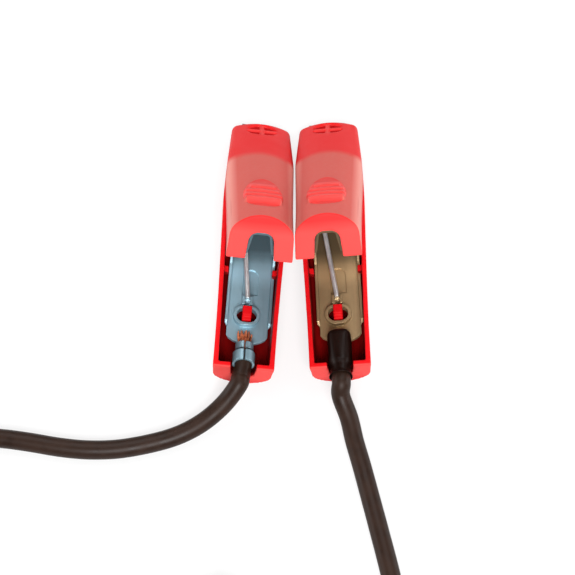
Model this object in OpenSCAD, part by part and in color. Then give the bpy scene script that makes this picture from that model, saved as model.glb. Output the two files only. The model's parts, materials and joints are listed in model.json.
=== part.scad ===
// Battery link lead: two identical insulated spring clamps, one on each end of a
// single-core lead.  Each clamp has two moulded grip shells over two pressed steel
// jaws, a rivet they turn on and a torsion spring.  Millimetres, +Z up, +Y toward
// the jaw tips; the origin is on the table, under the middle of the two clamps.

/* [Grip shell] */
// Half width of the shell over the pivot, where the crown bends
bend_half_w = 13.2; // [13:0.1:13.3]
// Height of the crown above the parting plane over the pivot
bend_h = 16; // [15.9:0.1:16.6]
// Fall of the arched crown from its middle to its side edges over the pivot
bend_drop = 4.6; // [4.2:0.1:4.8]
// Distance from the pivot back to the rim of the handle end
handle_l = 75.5; // [75:0.1:77]
// Height of the handle rim above the parting plane at its end
handle_rim_z = 27; // [26.8:0.1:27.4]
// Height of the end wall, from the rim to the crown
end_h = 16; // [15.8:0.1:16.6]
// Forward lean of the end wall, in degrees
end_lean = 22; // [20:0.5:24]
// Half width of the handle end at the rim
end_half_w = 11.5; // [11.4:0.1:12]
// How far each side of the handle is drawn in at its waist
waist = 0.35; // [0:0.05:0.4]
// Distance from the pivot to the nose shoulder
nose_l = 32.2; // [32:0.1:32.4]
// Height of the nose shoulder above the parting plane
nose_h = 6.6; // [6.5:0.1:6.9]
// Half width of the nose at its shoulder
nose_half_w = 12.2; // [11.9:0.1:12.4]
// Distance from the pivot to the tip of the nose
tip_l = 36.5; // [36.4:0.1:37]
// Wall thickness
wall = 1.8; // [1.7:0.1:1.9]
// Width of the cable notch at the rim of the end wall
notch_w = 9.8; // [9.7:0.1:10.2]
// Depth of the cable notch up the end wall
notch_d = 9.6; // [9.5:0.1:10]

/* [Plus mark] */
// Radius of the round recess on the nose
mark_r = 6; // [5.5:0.1:6.1]
// Distance from the pivot to the centre of the recess
mark_y = 26; // [25.6:0.1:26.1]
// Depth of the recess below the crown
mark_depth = 1.6; // [1.2:0.1:1.7]
// Width of the bars of the raised plus
mark_bar = 1.7; // [1.4:0.1:2.2]

/* [Thumb pad] */
// Number of ribs across the pad
rib_count = 5; // [4:1:5]
// Distance from one rib to the next
rib_pitch = 4.6; // [4.4:0.1:4.8]
// Distance along the crown from the bend to the rear face of the last rib
pad_rear = 62; // [61:0.1:62.4]
// Half width of the longest rib
pad_half_w = 6.8; // [6.4:0.1:6.9]
// Height of the last rib above the crown
rib_rise = 0.9; // [0.7:0.1:1.1]
// Height of the step behind each rib
rib_step = 0.7; // [0.6:0.1:0.9]

/* [Jaw] */
// Sheet thickness
sheet = 1; // [0.9:0.1:1]
// Half width of the pressed jaw
jaw_half_w = 8.9; // [8.8:0.1:8.9]
// Radius of the round ears that take the rivet
ear_r = 6.2; // [6:0.1:6.4]
// Sideways gap between the nested ears of the two jaws
ear_gap = 0.3; // [0.3:0.05:0.4]
// Distance from one tooth to the next
tooth_pitch = 2.3; // [2:0.1:2.6]
// Height of a tooth
tooth_h = 1.1; // [0.8:0.1:1.2]

/* [Rivet and spring] */
// Radius of the rivet's shank
rivet_r = 3; // [2.8:0.1:3.1]
// Running clearance between the shank and the upper jaw's ears
running_gap = 0.05; // [0.03:0.01:0.08]
// Diameter of the spring wire
wire_d = 1.9; // [1.8:0.1:1.9]
// Mean radius of the spring coil
spring_r = 4.85; // [4.8:0.05:4.9]
// Full turns of the spring coil
spring_turns = 4; // [3:1:4]
// Distance from one turn of the spring to the next
spring_pitch = 2.5; // [2.4:0.05:2.6]

/* [Lead] */
// Outer diameter of the lead
lead_d = 7.1; // [7:0.1:7.3]
// Turns of the stored coil, with the part turn between its two ends
coil_sweep = 2260; // [2260:360:2620]
// Distance from one turn of the stored coil to the next, sideways and upwards
coil_pitch = 8.2; // [8.1:0.1:8.6]
// Radius of the tightest turn of the stored coil
coil_min_r = 30.3; // [30.2:0.1:33]

/* [Lie of the clamps] */
// Nose-down pitch of both clamps on the table, in degrees
pitch = 19.6; // [19.2:0.1:20]

/* [Hidden] */
touch = 0.02;              // gap left between pieces that only touch
deep = 60;                 // longer than any cut
red = [0.80, 0.10, 0.09];
zinc = [0.62, 0.67, 0.70];
bronze = [0.62, 0.49, 0.32];
black = [0.07, 0.07, 0.07];
copper = [0.72, 0.40, 0.24];

// Each clamp: the X and Y of its pivot, its yaw and its sideways lean
left_clamp = [-13.2, 22.1, -0.95, 6.7];
right_clamp = [15.75, 22.9, -0.25, -5.8];

// ---- Placing ---------------------------------------------------------------
function rot_x(a, p) = [p.x, p.y * cos(a) - p.z * sin(a), p.y * sin(a) + p.z * cos(a)];
function rot_y(a, p) = [p.x * cos(a) + p.z * sin(a), p.y, p.z * cos(a) - p.x * sin(a)];
function rot_z(a, p) = [p.x * cos(a) - p.y * sin(a), p.x * sin(a) + p.y * cos(a), p.z];
function turned(c, p) = rot_z(c[2], rot_x(-pitch, rot_y(c[3], p)));
// The pivot is as high as brings the lowest point of the lower shell down to the table
function pivot_z(c) = -min([for (p = rest_points) turned(c, [-p.x, p.y, -p.z]).z]);
function placed(c, p) = turned(c, p) + [c[0], c[1], pivot_z(c)];
module place(c) {
    translate([c[0], c[1], pivot_z(c)])
        rotate([0, 0, c[2]]) rotate([-pitch, 0, 0]) rotate([0, c[3], 0]) children();
}
// A half is drawn above the parting plane; the lower one is turned over about Y
module lower_half() {
    rotate([0, 180, 0]) children();
}
// A flat shape drawn in (Y, Z), as thick as t across X
module across(t) {
    rotate([90, 0, 90]) translate([0, 0, -t / 2]) linear_extrude(t) children();
}

// ---- Sweeps and lofts --------------------------------------------------------
function unit(v) = v / norm(v);
function total(v) = [for (x = v) 1] * v;
// Rings of n points joined into one closed solid, every face a triangle
module joined(rings) {
    n = len(rings[0]);
    last = (len(rings) - 1) * n;
    polyhedron(
        points = [for (r = rings) each r],
        faces = [
            for (j = [1 : n - 2]) [0, j, j + 1],
            for (j = [1 : n - 2]) [last, last + j + 1, last + j],
            for (i = [0 : len(rings) - 2], j = [0 : n - 1], half = [0, 1])
                let (a = i * n + j, b = i * n + (j + 1) % n)
                    half == 0 ? [a, a + n, b + n] : [a, b + n, b]]);
}
function heading(p, i, d0, d1) =
    i == 0 ? d0 : i == len(p) - 1 ? d1 : unit(unit(p[i + 1] - p[i]) + unit(p[i] - p[i - 1]));
function tube_ring(c, t, up, r, sides) =
    let (a = unit(cross(t, up)), b = cross(a, t))
        [for (k = [0 : sides - 1])
            let (w = -360 * (k + 0.5) / sides) c + r * (cos(w) * a + sin(w) * b)];
// A round tube along path p that leaves along d0 and arrives along d1
module tube(p, r, sides, up, d0, d1) {
    joined([for (i = [0 : len(p) - 1]) tube_ring(p[i], heading(p, i, d0, d1), up, r, sides)]);
}
function path_length(p) = total([for (i = [1 : len(p) - 1]) norm(p[i] - p[i - 1])]);
// Least gap of a tube of diameter d to itself, between points over skip steps apart
function to_line(q, a, b) =
    let (k = (q - a) * (b - a) / ((b - a) * (b - a))) norm(q - a - min(1, max(0, k)) * (b - a));
function least_gap(p, d, skip) =
    min([for (i = [0 : len(p) - 1 - skip], j = [i + skip : len(p) - 2])
        to_line(p[i], p[j], p[j + 1])]) - d;
module rod(a, b, r, sides = 24) {
    d = b - a;
    translate(a) rotate([0, acos(d.z / norm(d)), atan2(d.y, d.x)])
        cylinder(h = norm(d), r = r, $fn = sides);
}

// ---- Grip shell ----------------------------------------------------------------
rim_gap = 0.4;             // from the parting plane to the rim in front of the pivot
end_drop = 6.1;            // fall of the crown from its middle to its edges, at the end
end_edge_half = 10.9;      // half width at the edges of the crown, at the end
chamfer = 1.4;             // along each side of a crown edge, smaller inside
arc_steps = 8;
crown_end = [-handle_l + end_h * sin(end_lean), handle_rim_z + end_h * cos(end_lean)];
handle_slope = atan2(crown_end.y - bend_h, -crown_end.x);
nose_slope = atan2(bend_h - nose_h, nose_l);
function between(a, b, k) = a + (b - a) * k;
// Stations from the handle end to the tip: rim Y and Z, crown Y and Z, half width
// at the rim, half width at the crown's edges, fall of the crown, wall there
end_station = [-handle_l, handle_rim_z, crown_end.x, crown_end.y, end_half_w, end_edge_half,
               end_drop, wall];
bend_station = [0, rim_gap, 0, bend_h, bend_half_w + 0.1, bend_half_w, bend_drop, wall];
waist_at = 0.74;           // part of the way from the bend to the end
stations = [
    end_station,
    between(bend_station, end_station, waist_at) - waist * [0, 0, 0, 0, 1, 1, 0, 0.5],
    bend_station,
    [nose_l, rim_gap, nose_l, nose_h, nose_half_w, nose_half_w, 3.2, wall],
    [34.4, rim_gap, 34.4, 4.7, 11.4, 11.3, 2.2, 1.3],
    [tip_l, rim_gap, tip_l, 2.5, 10, 9.8, 1.1, 1]];
// The arched outline of a station, from the left rim over the crown to the right one.
// inset moves it inwards; below carries its feet past the rim.
function outline(s, inset, below) =
    let (rim = [s[0], s[1]], crown = [s[2], s[3]], up = unit(crown - rim),
         h = norm(crown - rim) - inset, w = s[5] - inset,
         arc_r = (s[5] * s[5] + s[6] * s[6]) / (2 * s[6]) - inset, half = asin(w / arc_r),
         edge = h - arc_r * (1 - cos(half)), bevel = chamfer - inset / 2,
         cut = half - bevel / arc_r * 180 / PI, side_top = max(0.1 - below, edge - bevel))
        [for (q = concat(
                [[-(s[4] - inset), -below], [-w, side_top]],
                [for (k = [0 : arc_steps])
                    let (a = -cut + 2 * cut * k / arc_steps)
                        [arc_r * sin(a), h - arc_r + arc_r * cos(a)]],
                [[w, side_top], [s[4] - inset, -below]]))
            [q[0], rim.x + up.x * q[1], rim.y + up.y * q[1]]];
outer_rings = [for (s = stations) outline(s, 0, 0)];
end_inside = between(end_station, stations[1], wall * 1.08 / (handle_l * (1 - waist_at)));
past_tip = [for (v = [1, 0, 1, 0, 0, 0, 0, 0]) v];
inner_rings = [
    outline(end_inside, wall, 3),
    for (i = [1 : 4]) outline(stations[i], stations[i][7], 3),
    outline(stations[5] + past_tip, stations[5][7], 3)];

// A frame on the handle's crown: Y runs forward along it, Z stands on it
module on_crown() {
    translate([0, 0, bend_h]) rotate([-handle_slope, 0, 0]) children();
}
module on_nose(y) {
    translate([0, y, bend_h - y * tan(nose_slope)]) rotate([-nose_slope, 0, 0]) children();
}
// A frame on the end wall: X across, Y forward through it, Z up it from the rim
module on_end_wall() {
    translate([0, -handle_l, handle_rim_z]) rotate([-end_lean, 0, 0]) children();
}

// Thumb pad: an oval scoop, its floor arched like the crown, under saw-toothed ribs
// that rise to the rear
pad_mid = pad_rear - 13.2;
pad_reach = 14.8;
scoop_depth = 0.9;
function rib_s(i) = pad_rear - (rib_count - 1 - i) * rib_pitch;
function rib_top(i) = 0.3 + (rib_rise - 0.3) * i / (rib_count - 1);
function rib_half(i) = pad_half_w * sqrt(1 - pow((rib_s(i) - pad_mid - 4.8) / 14.2, 2));
function scoop_ring(s) = [for (q = concat(
    [[-9, 6]], [for (x = [-9 : 4.5 : 9]) [x, -scoop_depth - x * x / 31]], [[9, 6]])) [q.x, -s, q.y]];
module pad_scoop() {
    on_crown() intersection() {
        translate([0, -pad_mid, -6]) linear_extrude(9)
            polygon([for (k = [0 : 15]) [7 * cos(22.5 * k), pad_reach * sin(22.5 * k)]]);
        joined([scoop_ring(rib_s(0) - 0.3), scoop_ring(pad_mid + pad_reach + 1)]);
    }
}
// The section of rib i at x: its rear face, its top and the foot it stands on
function rib_section(i, x) =
    let (arch = x * x / 100, foot = -1.3 - x * x / 31, y = -rib_s(i), top = rib_top(i) - arch,
         front = i == 0 ? [5.3, -0.3] : [rib_pitch + 0.3, rib_top(i - 1) - rib_step - 0.06])
        [[x, y, foot], [x, y, top - 0.2], [x, y + 0.3, top],
         [x, y + front.x, front.y - arch], [x, y + front.x, foot]];
module pad_ribs() {
    on_crown() for (i = [0 : rib_count - 1])
        joined([for (k = [-1 : 0.5 : 1]) rib_section(i, -k * rib_half(i))]);
}

// Round recess with a raised plus, and the boss that backs it
module mark_recess() {
    on_nose(mark_y) translate([0, 0, -mark_depth]) cylinder(h = 6, r = mark_r, $fn = 36);
}
module mark_plus() {
    on_nose(mark_y) translate([0, 0, -mark_depth - 0.2]) {
        translate([0, 0, 0.65]) cube([2 * mark_r - 1.2, mark_bar, 1.3], center = true);
        translate([0, 0, 0.65]) cube([mark_bar, 2 * mark_r - 1.2, 1.3], center = true);
    }
}
module mark_boss() {
    on_nose(mark_y) translate([0, 0, -2.4]) cylinder(h = 1.2, r = mark_r + 1.2, $fn = 12);
}

module cable_notch() {
    top_half = 4.4;
    corner_r = 3.3;
    on_end_wall() rotate([90, 0, 0]) translate([0, 0, -8]) linear_extrude(12) union() {
        polygon([[-notch_w / 2 - 0.2, -2], [notch_w / 2 + 0.2, -2],
                 [top_half, notch_d - corner_r], [-top_half, notch_d - corner_r]]);
        for (side = [-1, 1])
            translate([side * (top_half - corner_r), notch_d - corner_r]) circle(corner_r, $fn = 40);
        translate([corner_r - top_half, notch_d - 2 * corner_r])
            square([2 * (top_half - corner_r), 2 * corner_r]);
    }
}
// The shallow arch that the rims leave for a battery post
post_y = 20;
module post_arch() {
    rise = 2.5;
    half_chord = 10;
    arch_r = (half_chord * half_chord + rise * rise) / (2 * rise);
    translate([-deep / 2, post_y, rim_gap + rise - arch_r]) rotate([0, 90, 0])
        cylinder(h = deep, r = arch_r, $fn = 96);
}
module tip_slot() {
    translate([-8.6, 33, -1]) cube([17.2, 6, 2.5]);
}

// What holds the steel: seat ribs under it, nubs over its edges, a hook through it
hook_y = -48.1;
hook_root = 4.8;           // from the inner face of the steel to the middle of the crown's wall
module seat_ribs() {
    for (x = [-5.6, 5.6])
        on_web(-40) translate([x - 0.6, -14, sheet + touch]) cube([1.2, 30, 2.4]);
}
module edge_nubs() {
    for (side = [-1, 1])
        on_web(-31) translate([side * 10, 0, -2.75]) cube([3, 3.2, 1.5], center = true);
}
module hook() {
    on_web(hook_y) {
        translate([-1.8, -2.3, -2.4]) cube([3.6, 3.9, 2.4 + hook_root]);
        translate([-1.8, -0.5, -3.5]) cube([3.6, 4, 1.3]);
    }
}
module grip_shell() {
    color(red) {
        difference() {
            union() {
                difference() {
                    joined(outer_rings);
                    joined(inner_rings);
                }
                mark_boss();
            }
            cable_notch();
            mark_recess();
            pad_scoop();
            post_arch();
            tip_slot();
        }
        mark_plus();
        pad_ribs();
        seat_ribs();
        edge_nubs();
        hook();
    }
}
rest_points = concat(
    [for (r = outer_rings) each r],
    [for (i = [0 : rib_count - 1], k = [-1 : 0.5 : 1])
        rot_x(-handle_slope, rib_section(i, k * rib_half(i))[2]) + [0, 0, bend_h]]);

// ---- Pressed steel jaw ----------------------------------------------------------
web_base = 9.6;            // height of the web over the pivot, on the handle's slope
web_slope = 0.37;
web_rear = -58.6;
web_angle = atan(web_slope);
// Inner face of the web, from the rear edge to the lip
web_line = [
    [web_rear, web_base - web_slope * web_rear], [-22, web_base + web_slope * 22],
    [-3, 9], [3, 8.6], [12, 6.4], [20, 4.3], [30, 1.7], [34.2, 0.5], [35.4, 0.3], [38.3, 0.3]];
jaw_shift = -(sheet + ear_gap) / 2;
function web_z(y) = lookup(y, web_line);
// The frame of the flat rear web: Y forward along it, Z out through the sheet
module on_web(y) {
    translate([0, y, web_z(y)]) rotate([-web_angle, 0, 0]) children();
}
function left_of(d) = [-d.y, d.x];
function offset_point(p, i, t) =
    let (n0 = left_of(unit(p[max(i, 1)] - p[max(i, 1) - 1])),
         j = min(i, len(p) - 2), n1 = left_of(unit(p[j + 1] - p[j])))
        p[i] + t * (n0 + n1) / (1 + n0 * n1);
function band(p, t) = concat(p, [for (i = [len(p) - 1 : -1 : 0]) offset_point(p, i, t)]);

rear_corner = [8.5, -55.3];
bow = rear_corner.y - web_rear;
bow_r = (rear_corner.x * rear_corner.x + bow * bow) / (2 * bow);
bow_half = asin(rear_corner.x / bow_r);
module jaw_plan() {
    polygon(concat(
        [for (k = [-5 : 5]) let (a = bow_half * k / 5)
            [bow_r * sin(a), web_rear + bow_r - bow_r * cos(a)]],
        [[jaw_half_w, -52.3], [jaw_half_w, flange_front], [7.6, 34], [7.4, 38.3],
         [-7.4, 38.3], [-7.6, 34], [-jaw_half_w, flange_front], [-jaw_half_w, -52.3]]));
}
flange_h = 1.8;
flange_front = 29.6;       // the toothed flanges end here
edge_round = 1.9;
tooth_first = 8.5;
tooth_count = floor((flange_front - tooth_first) / tooth_pitch);
function post_rise(y) = 2 * max(0, 1 - pow((y - post_y) / 9, 2));
// Where the flange's edge, from its low end at y, touches the ear
ear_reach = norm([-28, web_z(-28) - flange_h]);
ear_touch = atan2(web_z(-28) - flange_h, -28) + acos(ear_r / ear_reach);
module flange_side() {
    union() {
        circle(ear_r, $fn = 48);
        polygon(concat(
            [[-52.3, web_z(-52.3)], [-51.2, web_z(-51.2) - flange_h], [-28, web_z(-28) - flange_h],
             ear_r * [cos(ear_touch), sin(ear_touch)], [3, 0.3]],
            [for (i = [0 : tooth_count - 1], top = [0, 1])
                let (y = tooth_first + (i + top / 2) * tooth_pitch)
                    [y, 0.3 + tooth_h * top + post_rise(y)]],
            [[flange_front, 0.3], [flange_front, web_z(flange_front) + 0.3]],
            [for (i = [4 : -1 : 1]) web_line[i] + [0, 0.3]],
            [[-52.3, web_z(-52.3) + 0.3]]));
    }
}
leg_x = 0.1;               // where the spring leg ends, across the half
tab_y = -42.2;
module jaw_holes(bore_r) {
    // the rear web's long edges are bent round, not square
    for (side = [-1, 1])
        on_web(-22) rotate([90, 0, 0]) linear_extrude(45) polygon([
            [side * (jaw_half_w - edge_round), sheet], [side * (jaw_half_w - edge_round), sheet + 0.3],
            [side * (jaw_half_w + 0.1), sheet + 0.3], [side * (jaw_half_w + 0.1), sheet - 2]]);
    translate([-deep / 2, 0, 0]) rotate([0, 90, 0]) cylinder(h = deep, r = bore_r, $fn = 48);
    on_web(hook_y) translate([-jaw_shift, 0, -4]) linear_extrude(8) obround(7.8, 6);
    // a sunk bead runs from the middle of the web to the spring's tab
    on_web(-33) translate([0, 0, -1]) linear_extrude(1.5) bead();
}
module obround(w, l) {
    union() {
        for (side = [-1, 1]) translate([side * (w - l) / 2, 0]) circle(l / 2, $fn = 32);
        square([w - l, l], center = true);
    }
}
module bead() {
    union() {
        translate([0, 1.6]) circle(3, $fn = 12);
        translate([-3, -6.4]) square([6, 8]);
    }
}
module jaw_pressing(bore_r) {
    difference() {
        union() {
            intersection() {
                across(4 * jaw_half_w) polygon(band(web_line, sheet));
                linear_extrude(deep) jaw_plan();
            }
            for (side = [-1, 1])
                translate([side * (jaw_half_w - sheet / 2), 0, 0]) across(sheet) flange_side();
            on_web(hook_y) translate([-jaw_shift, 0, -2]) linear_extrude(2.5) obround(10.2, 8.4);
            on_web(-33) translate([0, 0, 0.4]) linear_extrude(1.2) bead();
        }
        jaw_holes(bore_r);
    }
    // saddle for the end of the spring's leg
    for (side = [-1, 1])
        on_web(tab_y) translate([leg_x - jaw_shift + side * 1.5, 0, -1])
            cube([1, 3.6, 2.4], center = true);
}

// The tongue behind the web, in a frame of its own: Y forward, Z out through the sheet
tongue_slope = 11.3;
tongue_y = -58.2;
core_in = 2.6;             // inside radius of the closed conductor crimp
jacket_in = 3.3;           // inside radius of the closed jacket crimp
barrel_wall = 0.9;
core_span = [3, 5.9];      // the crimps' start and end, back along the tongue
jacket_span = [7.4, 12];
module on_tongue() {
    translate([-jaw_shift, tongue_y, web_z(tongue_y)]) rotate([-tongue_slope, 0, 0]) children();
}
// A round bar or bore along the tongue, at its own radius from the sheet
module along_tongue(from, to, r, axis) {
    translate([0, -from, -axis]) rotate([90, 0, 0]) cylinder(h = to - from, r = r, $fn = 48);
}
module tongue() {
    on_tongue() translate([-3, -jacket_span[1], 0]) cube([6, jacket_span[1] + 2, sheet]);
}
module closed_crimp(span, inside) {
    on_tongue() difference() {
        along_tongue(span[0], span[1], inside + barrel_wall, inside);
        along_tongue(span[0] - 1, span[1] + 1, inside, inside);
        translate([0, 1 - span[0], -inside]) rotate([90, 0, 0]) linear_extrude(8)
            polygon([[0, 0.4 - inside], [-0.9, -inside - 2], [0.9, -inside - 2]]);
    }
}
module open_crimp(span, wing_h) {
    on_tongue() for (side = [-1, 1])
        translate([0, -span[0], 0]) rotate([90, 0, 0]) linear_extrude(span[1] - span[0])
            polygon([[side * 2, 0.9], [side * 2.9, 0.7], [side * 3.7, 0],
                     [side * (3.7 + wing_h * 0.18), -wing_h],
                     [side * (2.8 + wing_h * 0.18), -wing_h], [side * 2.8, -0.4],
                     [side * 2, 0]]);
}
module lower_jaw(tint) {
    color(tint) lower_half() translate([jaw_shift, 0, 0]) {
        jaw_pressing(rivet_r + touch / 2);
        tongue();
        closed_crimp(core_span, core_in);
        closed_crimp(jacket_span, jacket_in);
    }
}
module upper_jaw(tint) {
    color(tint) translate([jaw_shift, 0, 0]) {
        jaw_pressing(rivet_r + running_gap);
        tongue();
        open_crimp(core_span, 5);
        open_crimp(jacket_span, 7.5);
    }
}

// ---- Rivet and spring --------------------------------------------------------------
stack_half = jaw_half_w - jaw_shift;
module pivot_rivet() {
    head_r = 4.2;
    head_t = 0.7;
    color(zinc) rotate([0, 90, 0]) {
        translate([0, 0, -stack_half]) cylinder(h = 2 * stack_half, r = rivet_r, $fn = 48);
        for (side = [-1, 1])
            translate([0, 0, side * (stack_half + touch + head_t / 2)])
                cylinder(h = head_t + 2 * touch, r = head_r, center = true, $fn = 48);
    }
}
spring_half = spring_pitch * (spring_turns + 0.36) / 2;
leg_end_y = -41.2;
leg_end_z = web_z(leg_end_y) - (wire_d / 2 + 0.05) / cos(web_angle);
leg_reach = norm([leg_end_y, leg_end_z]);
leg_angle = acos(spring_r / leg_reach) + atan2(leg_end_z, leg_end_y);
lift_off = 360 - leg_angle;                   // the angle at which each leg leaves the coil
spring_wrap = 360 * spring_turns + 2 * (leg_angle < 180 ? leg_angle : lift_off);
function spring_point(a) =
    [spring_half * (2 * a / spring_wrap - 1),
     spring_r * cos(a - spring_wrap / 2), spring_r * sin(a - spring_wrap / 2)];
spring_rings = 8 * spring_turns + 4;
spring_coil = [for (k = [0 : spring_rings]) spring_point(spring_wrap * k / spring_rings)];
spring_path = concat([[-leg_x, leg_end_y, -leg_end_z]], spring_coil, [[leg_x, leg_end_y, leg_end_z]]);
module spring() {
    n = len(spring_path) - 1;
    color(zinc) tube(spring_path, wire_d / 2, 6, [1, 0, 0],
                     unit(spring_path[1] - spring_path[0]), unit(spring_path[n] - spring_path[n - 1]));
}

// ---- Lead ends inside the clamps -------------------------------------------------------
lead_r = lead_d / 2;
core_front = -2;           // the conductor reaches this far in front of the tongue
jacket_front = 7;          // the jacket starts this far back along the tongue
jacket_full = 13;          // and is back to its full diameter here
sleeve_front = -1.4;
sleeve_rear = 18;
function tongue_point(p) = rot_x(-tongue_slope, p) + [0, tongue_y, web_z(tongue_y)];
function lower_point(p) = [-p.x, p.y, -p.z];
kink = tongue_point([0, -jacket_full, -jacket_in]);
left_exit = [0.7, -75.6, 32.1];
right_exit = tongue_point([0, -sleeve_rear, -jacket_in]);
module left_strands() {
    color(copper) lower_half() translate([jaw_shift, 0, 0]) on_tongue() {
        along_tongue(-core_front, jacket_front, core_in - touch, core_in);
        for (i = [-4 : 4])
            rod([i * 0.42, core_front - 0.5, -core_in + 0.9],
                [i * 0.95, core_front + 5.3 - 0.2 * abs(i), -1.7], 0.45, 6);
    }
}
module right_strands() {
    color(copper) lower_half() translate([jaw_shift, 0, 0]) on_tongue()
        along_tongue(-core_front, jacket_front, core_in - touch, core_in);
}
module jacket_in_crimp() {
    lower_half() translate([jaw_shift, 0, 0]) on_tongue()
        along_tongue(jacket_front, jacket_full + 0.4, jacket_in - touch, jacket_in);
}
module left_lead_end() {
    color(black) {
        jacket_in_crimp();
        lower_half() rod(kink, left_exit, lead_r);
    }
}
module right_lead_end() {
    color(black) {
        jacket_in_crimp();
        lower_half() rod(kink, right_exit, lead_r);
    }
}
module shrink_sleeve() {
    crimp_r = jacket_in + barrel_wall + 0.2;
    color(black) lower_half() translate([jaw_shift, 0, 0]) difference() {
        on_tongue() {
            along_tongue(sleeve_front, jacket_span[1] + 0.6, crimp_r, jacket_in);
            along_tongue(jacket_span[1], sleeve_rear, lead_r + 0.5, jacket_in);
            translate([-3.7, -jacket_span[1] - 0.4, -jacket_in])
                cube([7.4, jacket_span[1], jacket_in + sheet + 0.6]);
        }
        on_tongue() {
            along_tongue(sleeve_front + 1, jacket_span[1] + touch,
                         jacket_in + barrel_wall + touch, jacket_in);
            along_tongue(jacket_span[1], sleeve_rear + 1, lead_r + touch, jacket_in);
            translate([-3.02, -jacket_span[1] - touch, -touch])
                cube([6.04, 20, sheet + 2 * touch]);
        }
        // the front rests on the web
        on_web(web_rear) translate([-8, -0.1, -touch]) cube([16, 10, 8]);
    }
}

// ---- The free lead ------------------------------------------------------------------------
// Its two runs go over the table from the clamps to the coil, which lies in front
lie = lead_r;              // height of the lead's centre where it lies on the table
coil_lift = 0.6;           // the coil lies on the tie's band
coil_centre = [-24, -195];
coil_start = 240;          // angle on the coil where the left run comes in
coil_mid = coil_sweep / 2;
coil_out_r = coil_min_r + coil_pitch * coil_mid / 360;
function coil_climb(a) = let (k = min(1, max(0, (a - coil_mid + 90) / 180))) k * k * (3 - 2 * k);
// Out to in on the table, up a layer in the half turn at the middle, and out again
function coil_point(a) =
    let (r = coil_min_r + coil_pitch * abs(a - coil_mid) / 360)
        [coil_centre.x + r * cos(coil_start + a), coil_centre.y + r * sin(coil_start + a),
         lie + coil_lift + coil_pitch * coil_climb(a)];
coil_rings = coil_sweep / 20;
coil_turns = [for (k = [0 : coil_rings]) coil_point(20 * k)];
coil_in_dir = unit(coil_point(2) - coil_point(0));
coil_out_dir = unit(coil_point(coil_sweep) - coil_point(coil_sweep - 2));
coil_in = coil_point(0) - lead_d * coil_in_dir;
coil_out = coil_point(coil_sweep) + lead_d * coil_out_dir;
coil_path = concat([coil_in], coil_turns, [coil_out]);

left_start = placed(left_clamp, lower_point(left_exit));
left_start_dir = unit(turned(left_clamp, lower_point(left_exit) - lower_point(kink)));
right_start = placed(right_clamp, lower_point(right_exit));
right_start_dir = unit(turned(right_clamp, lower_point(right_exit) - lower_point(kink)));
left_route = [
    [-25, -68.5, 8.2], [-32.5, -74.5, 5.6], [-41, -79, 4.2], [-50.5, -82, lie],
    [-63, -84.5, lie], [-74.5, -85, lie], [-85.5, -84, lie], [-97, -82, lie],
    [-108, -80.5, lie], [-120, -80, lie], [-131.5, -83.5, lie], [-140.5, -92, lie],
    [-145.5, -104, lie], [-146, -119.5, lie], [-143, -141.5, lie], [-135, -165.5, lie],
    [-121, -189.5, lie], [-103, -210.5, lie], [-81.5, -227.5, lie + 0.3]];
right_route = [
    [18.5, -66, 10], [21.5, -73.5, 6.6], [23.5, -82, 4.4], [26, -91.5, lie],
    [29, -104.5, lie], [31.5, -115.5, lie], [35, -131.5, lie], [38, -149.5, 4.6], [39, -167.5, 6.4],
    [37.5, -185.5, 9.4]];
function run_path(start, dir, route, end, end_dir) =
    concat([start, start + 3 * dir], route, [end - 4 * end_dir, end]);
module lead_left_run() {
    color(black) tube(run_path(left_start, left_start_dir, left_route, coil_in, coil_in_dir),
                      lead_r, 6, [0, 0, 1], left_start_dir, coil_in_dir);
}
module lead_right_run() {
    color(black) tube(run_path(right_start, right_start_dir, right_route, coil_out, -coil_out_dir),
                      lead_r, 6, [0, 0, 1], right_start_dir, -coil_out_dir);
}
module lead_coil() {
    color(black) tube(coil_path, lead_r, 6, [0, 0, 1], coil_in_dir, coil_out_dir);
}

module measures() {
    left_run = run_path(left_start, left_start_dir, left_route, coil_in, coil_in_dir);
    right_run = run_path(right_start, right_start_dir, right_route, coil_out, -coil_out_dir);
    echo(spring_gap = least_gap(spring_path, wire_d, 6), coil_gap = least_gap(coil_path, lead_d, 12));
    echo(left_run = path_length(left_run), coil = path_length(coil_path),
         right_run = path_length(right_run),
         lead = path_length(concat(left_run, coil_path, reversed(right_run))));
}
function reversed(p) = [for (i = [len(p) - 1 : -1 : 0]) p[i]];
measures();

// A band round the coil's turns
tie_at = 90;
tie_w = 9;
module coil_tie() {
    tie_t = coil_lift;
    low = coil_min_r - lead_r + 3;
    high = coil_out_r + lead_r - 4;
    top = coil_lift + coil_pitch + lead_d + 0.1;
    color([0.15, 0.15, 0.16]) translate([coil_centre.x, coil_centre.y, 0]) rotate([0, 0, tie_at])
        rotate([90, 0, 0]) translate([0, 0, -tie_w / 2]) linear_extrude(tie_w) difference() {
            rounded(low - tie_t, 0, high + tie_t, top + tie_t, 3 + tie_t);
            rounded(low, tie_t, high, top, 3);
        }
}
module rounded(x0, y0, x1, y1, r) {
    union() {
        for (x = [x0 + r, x1 - r], y = [y0 + r, y1 - r]) translate([x, y]) circle(r, $fn = 12);
        translate([x0 + r, y0]) square([x1 - x0 - 2 * r, y1 - y0]);
        translate([x0, y0 + r]) square([x1 - x0, y1 - y0 - 2 * r]);
    }
}

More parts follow.
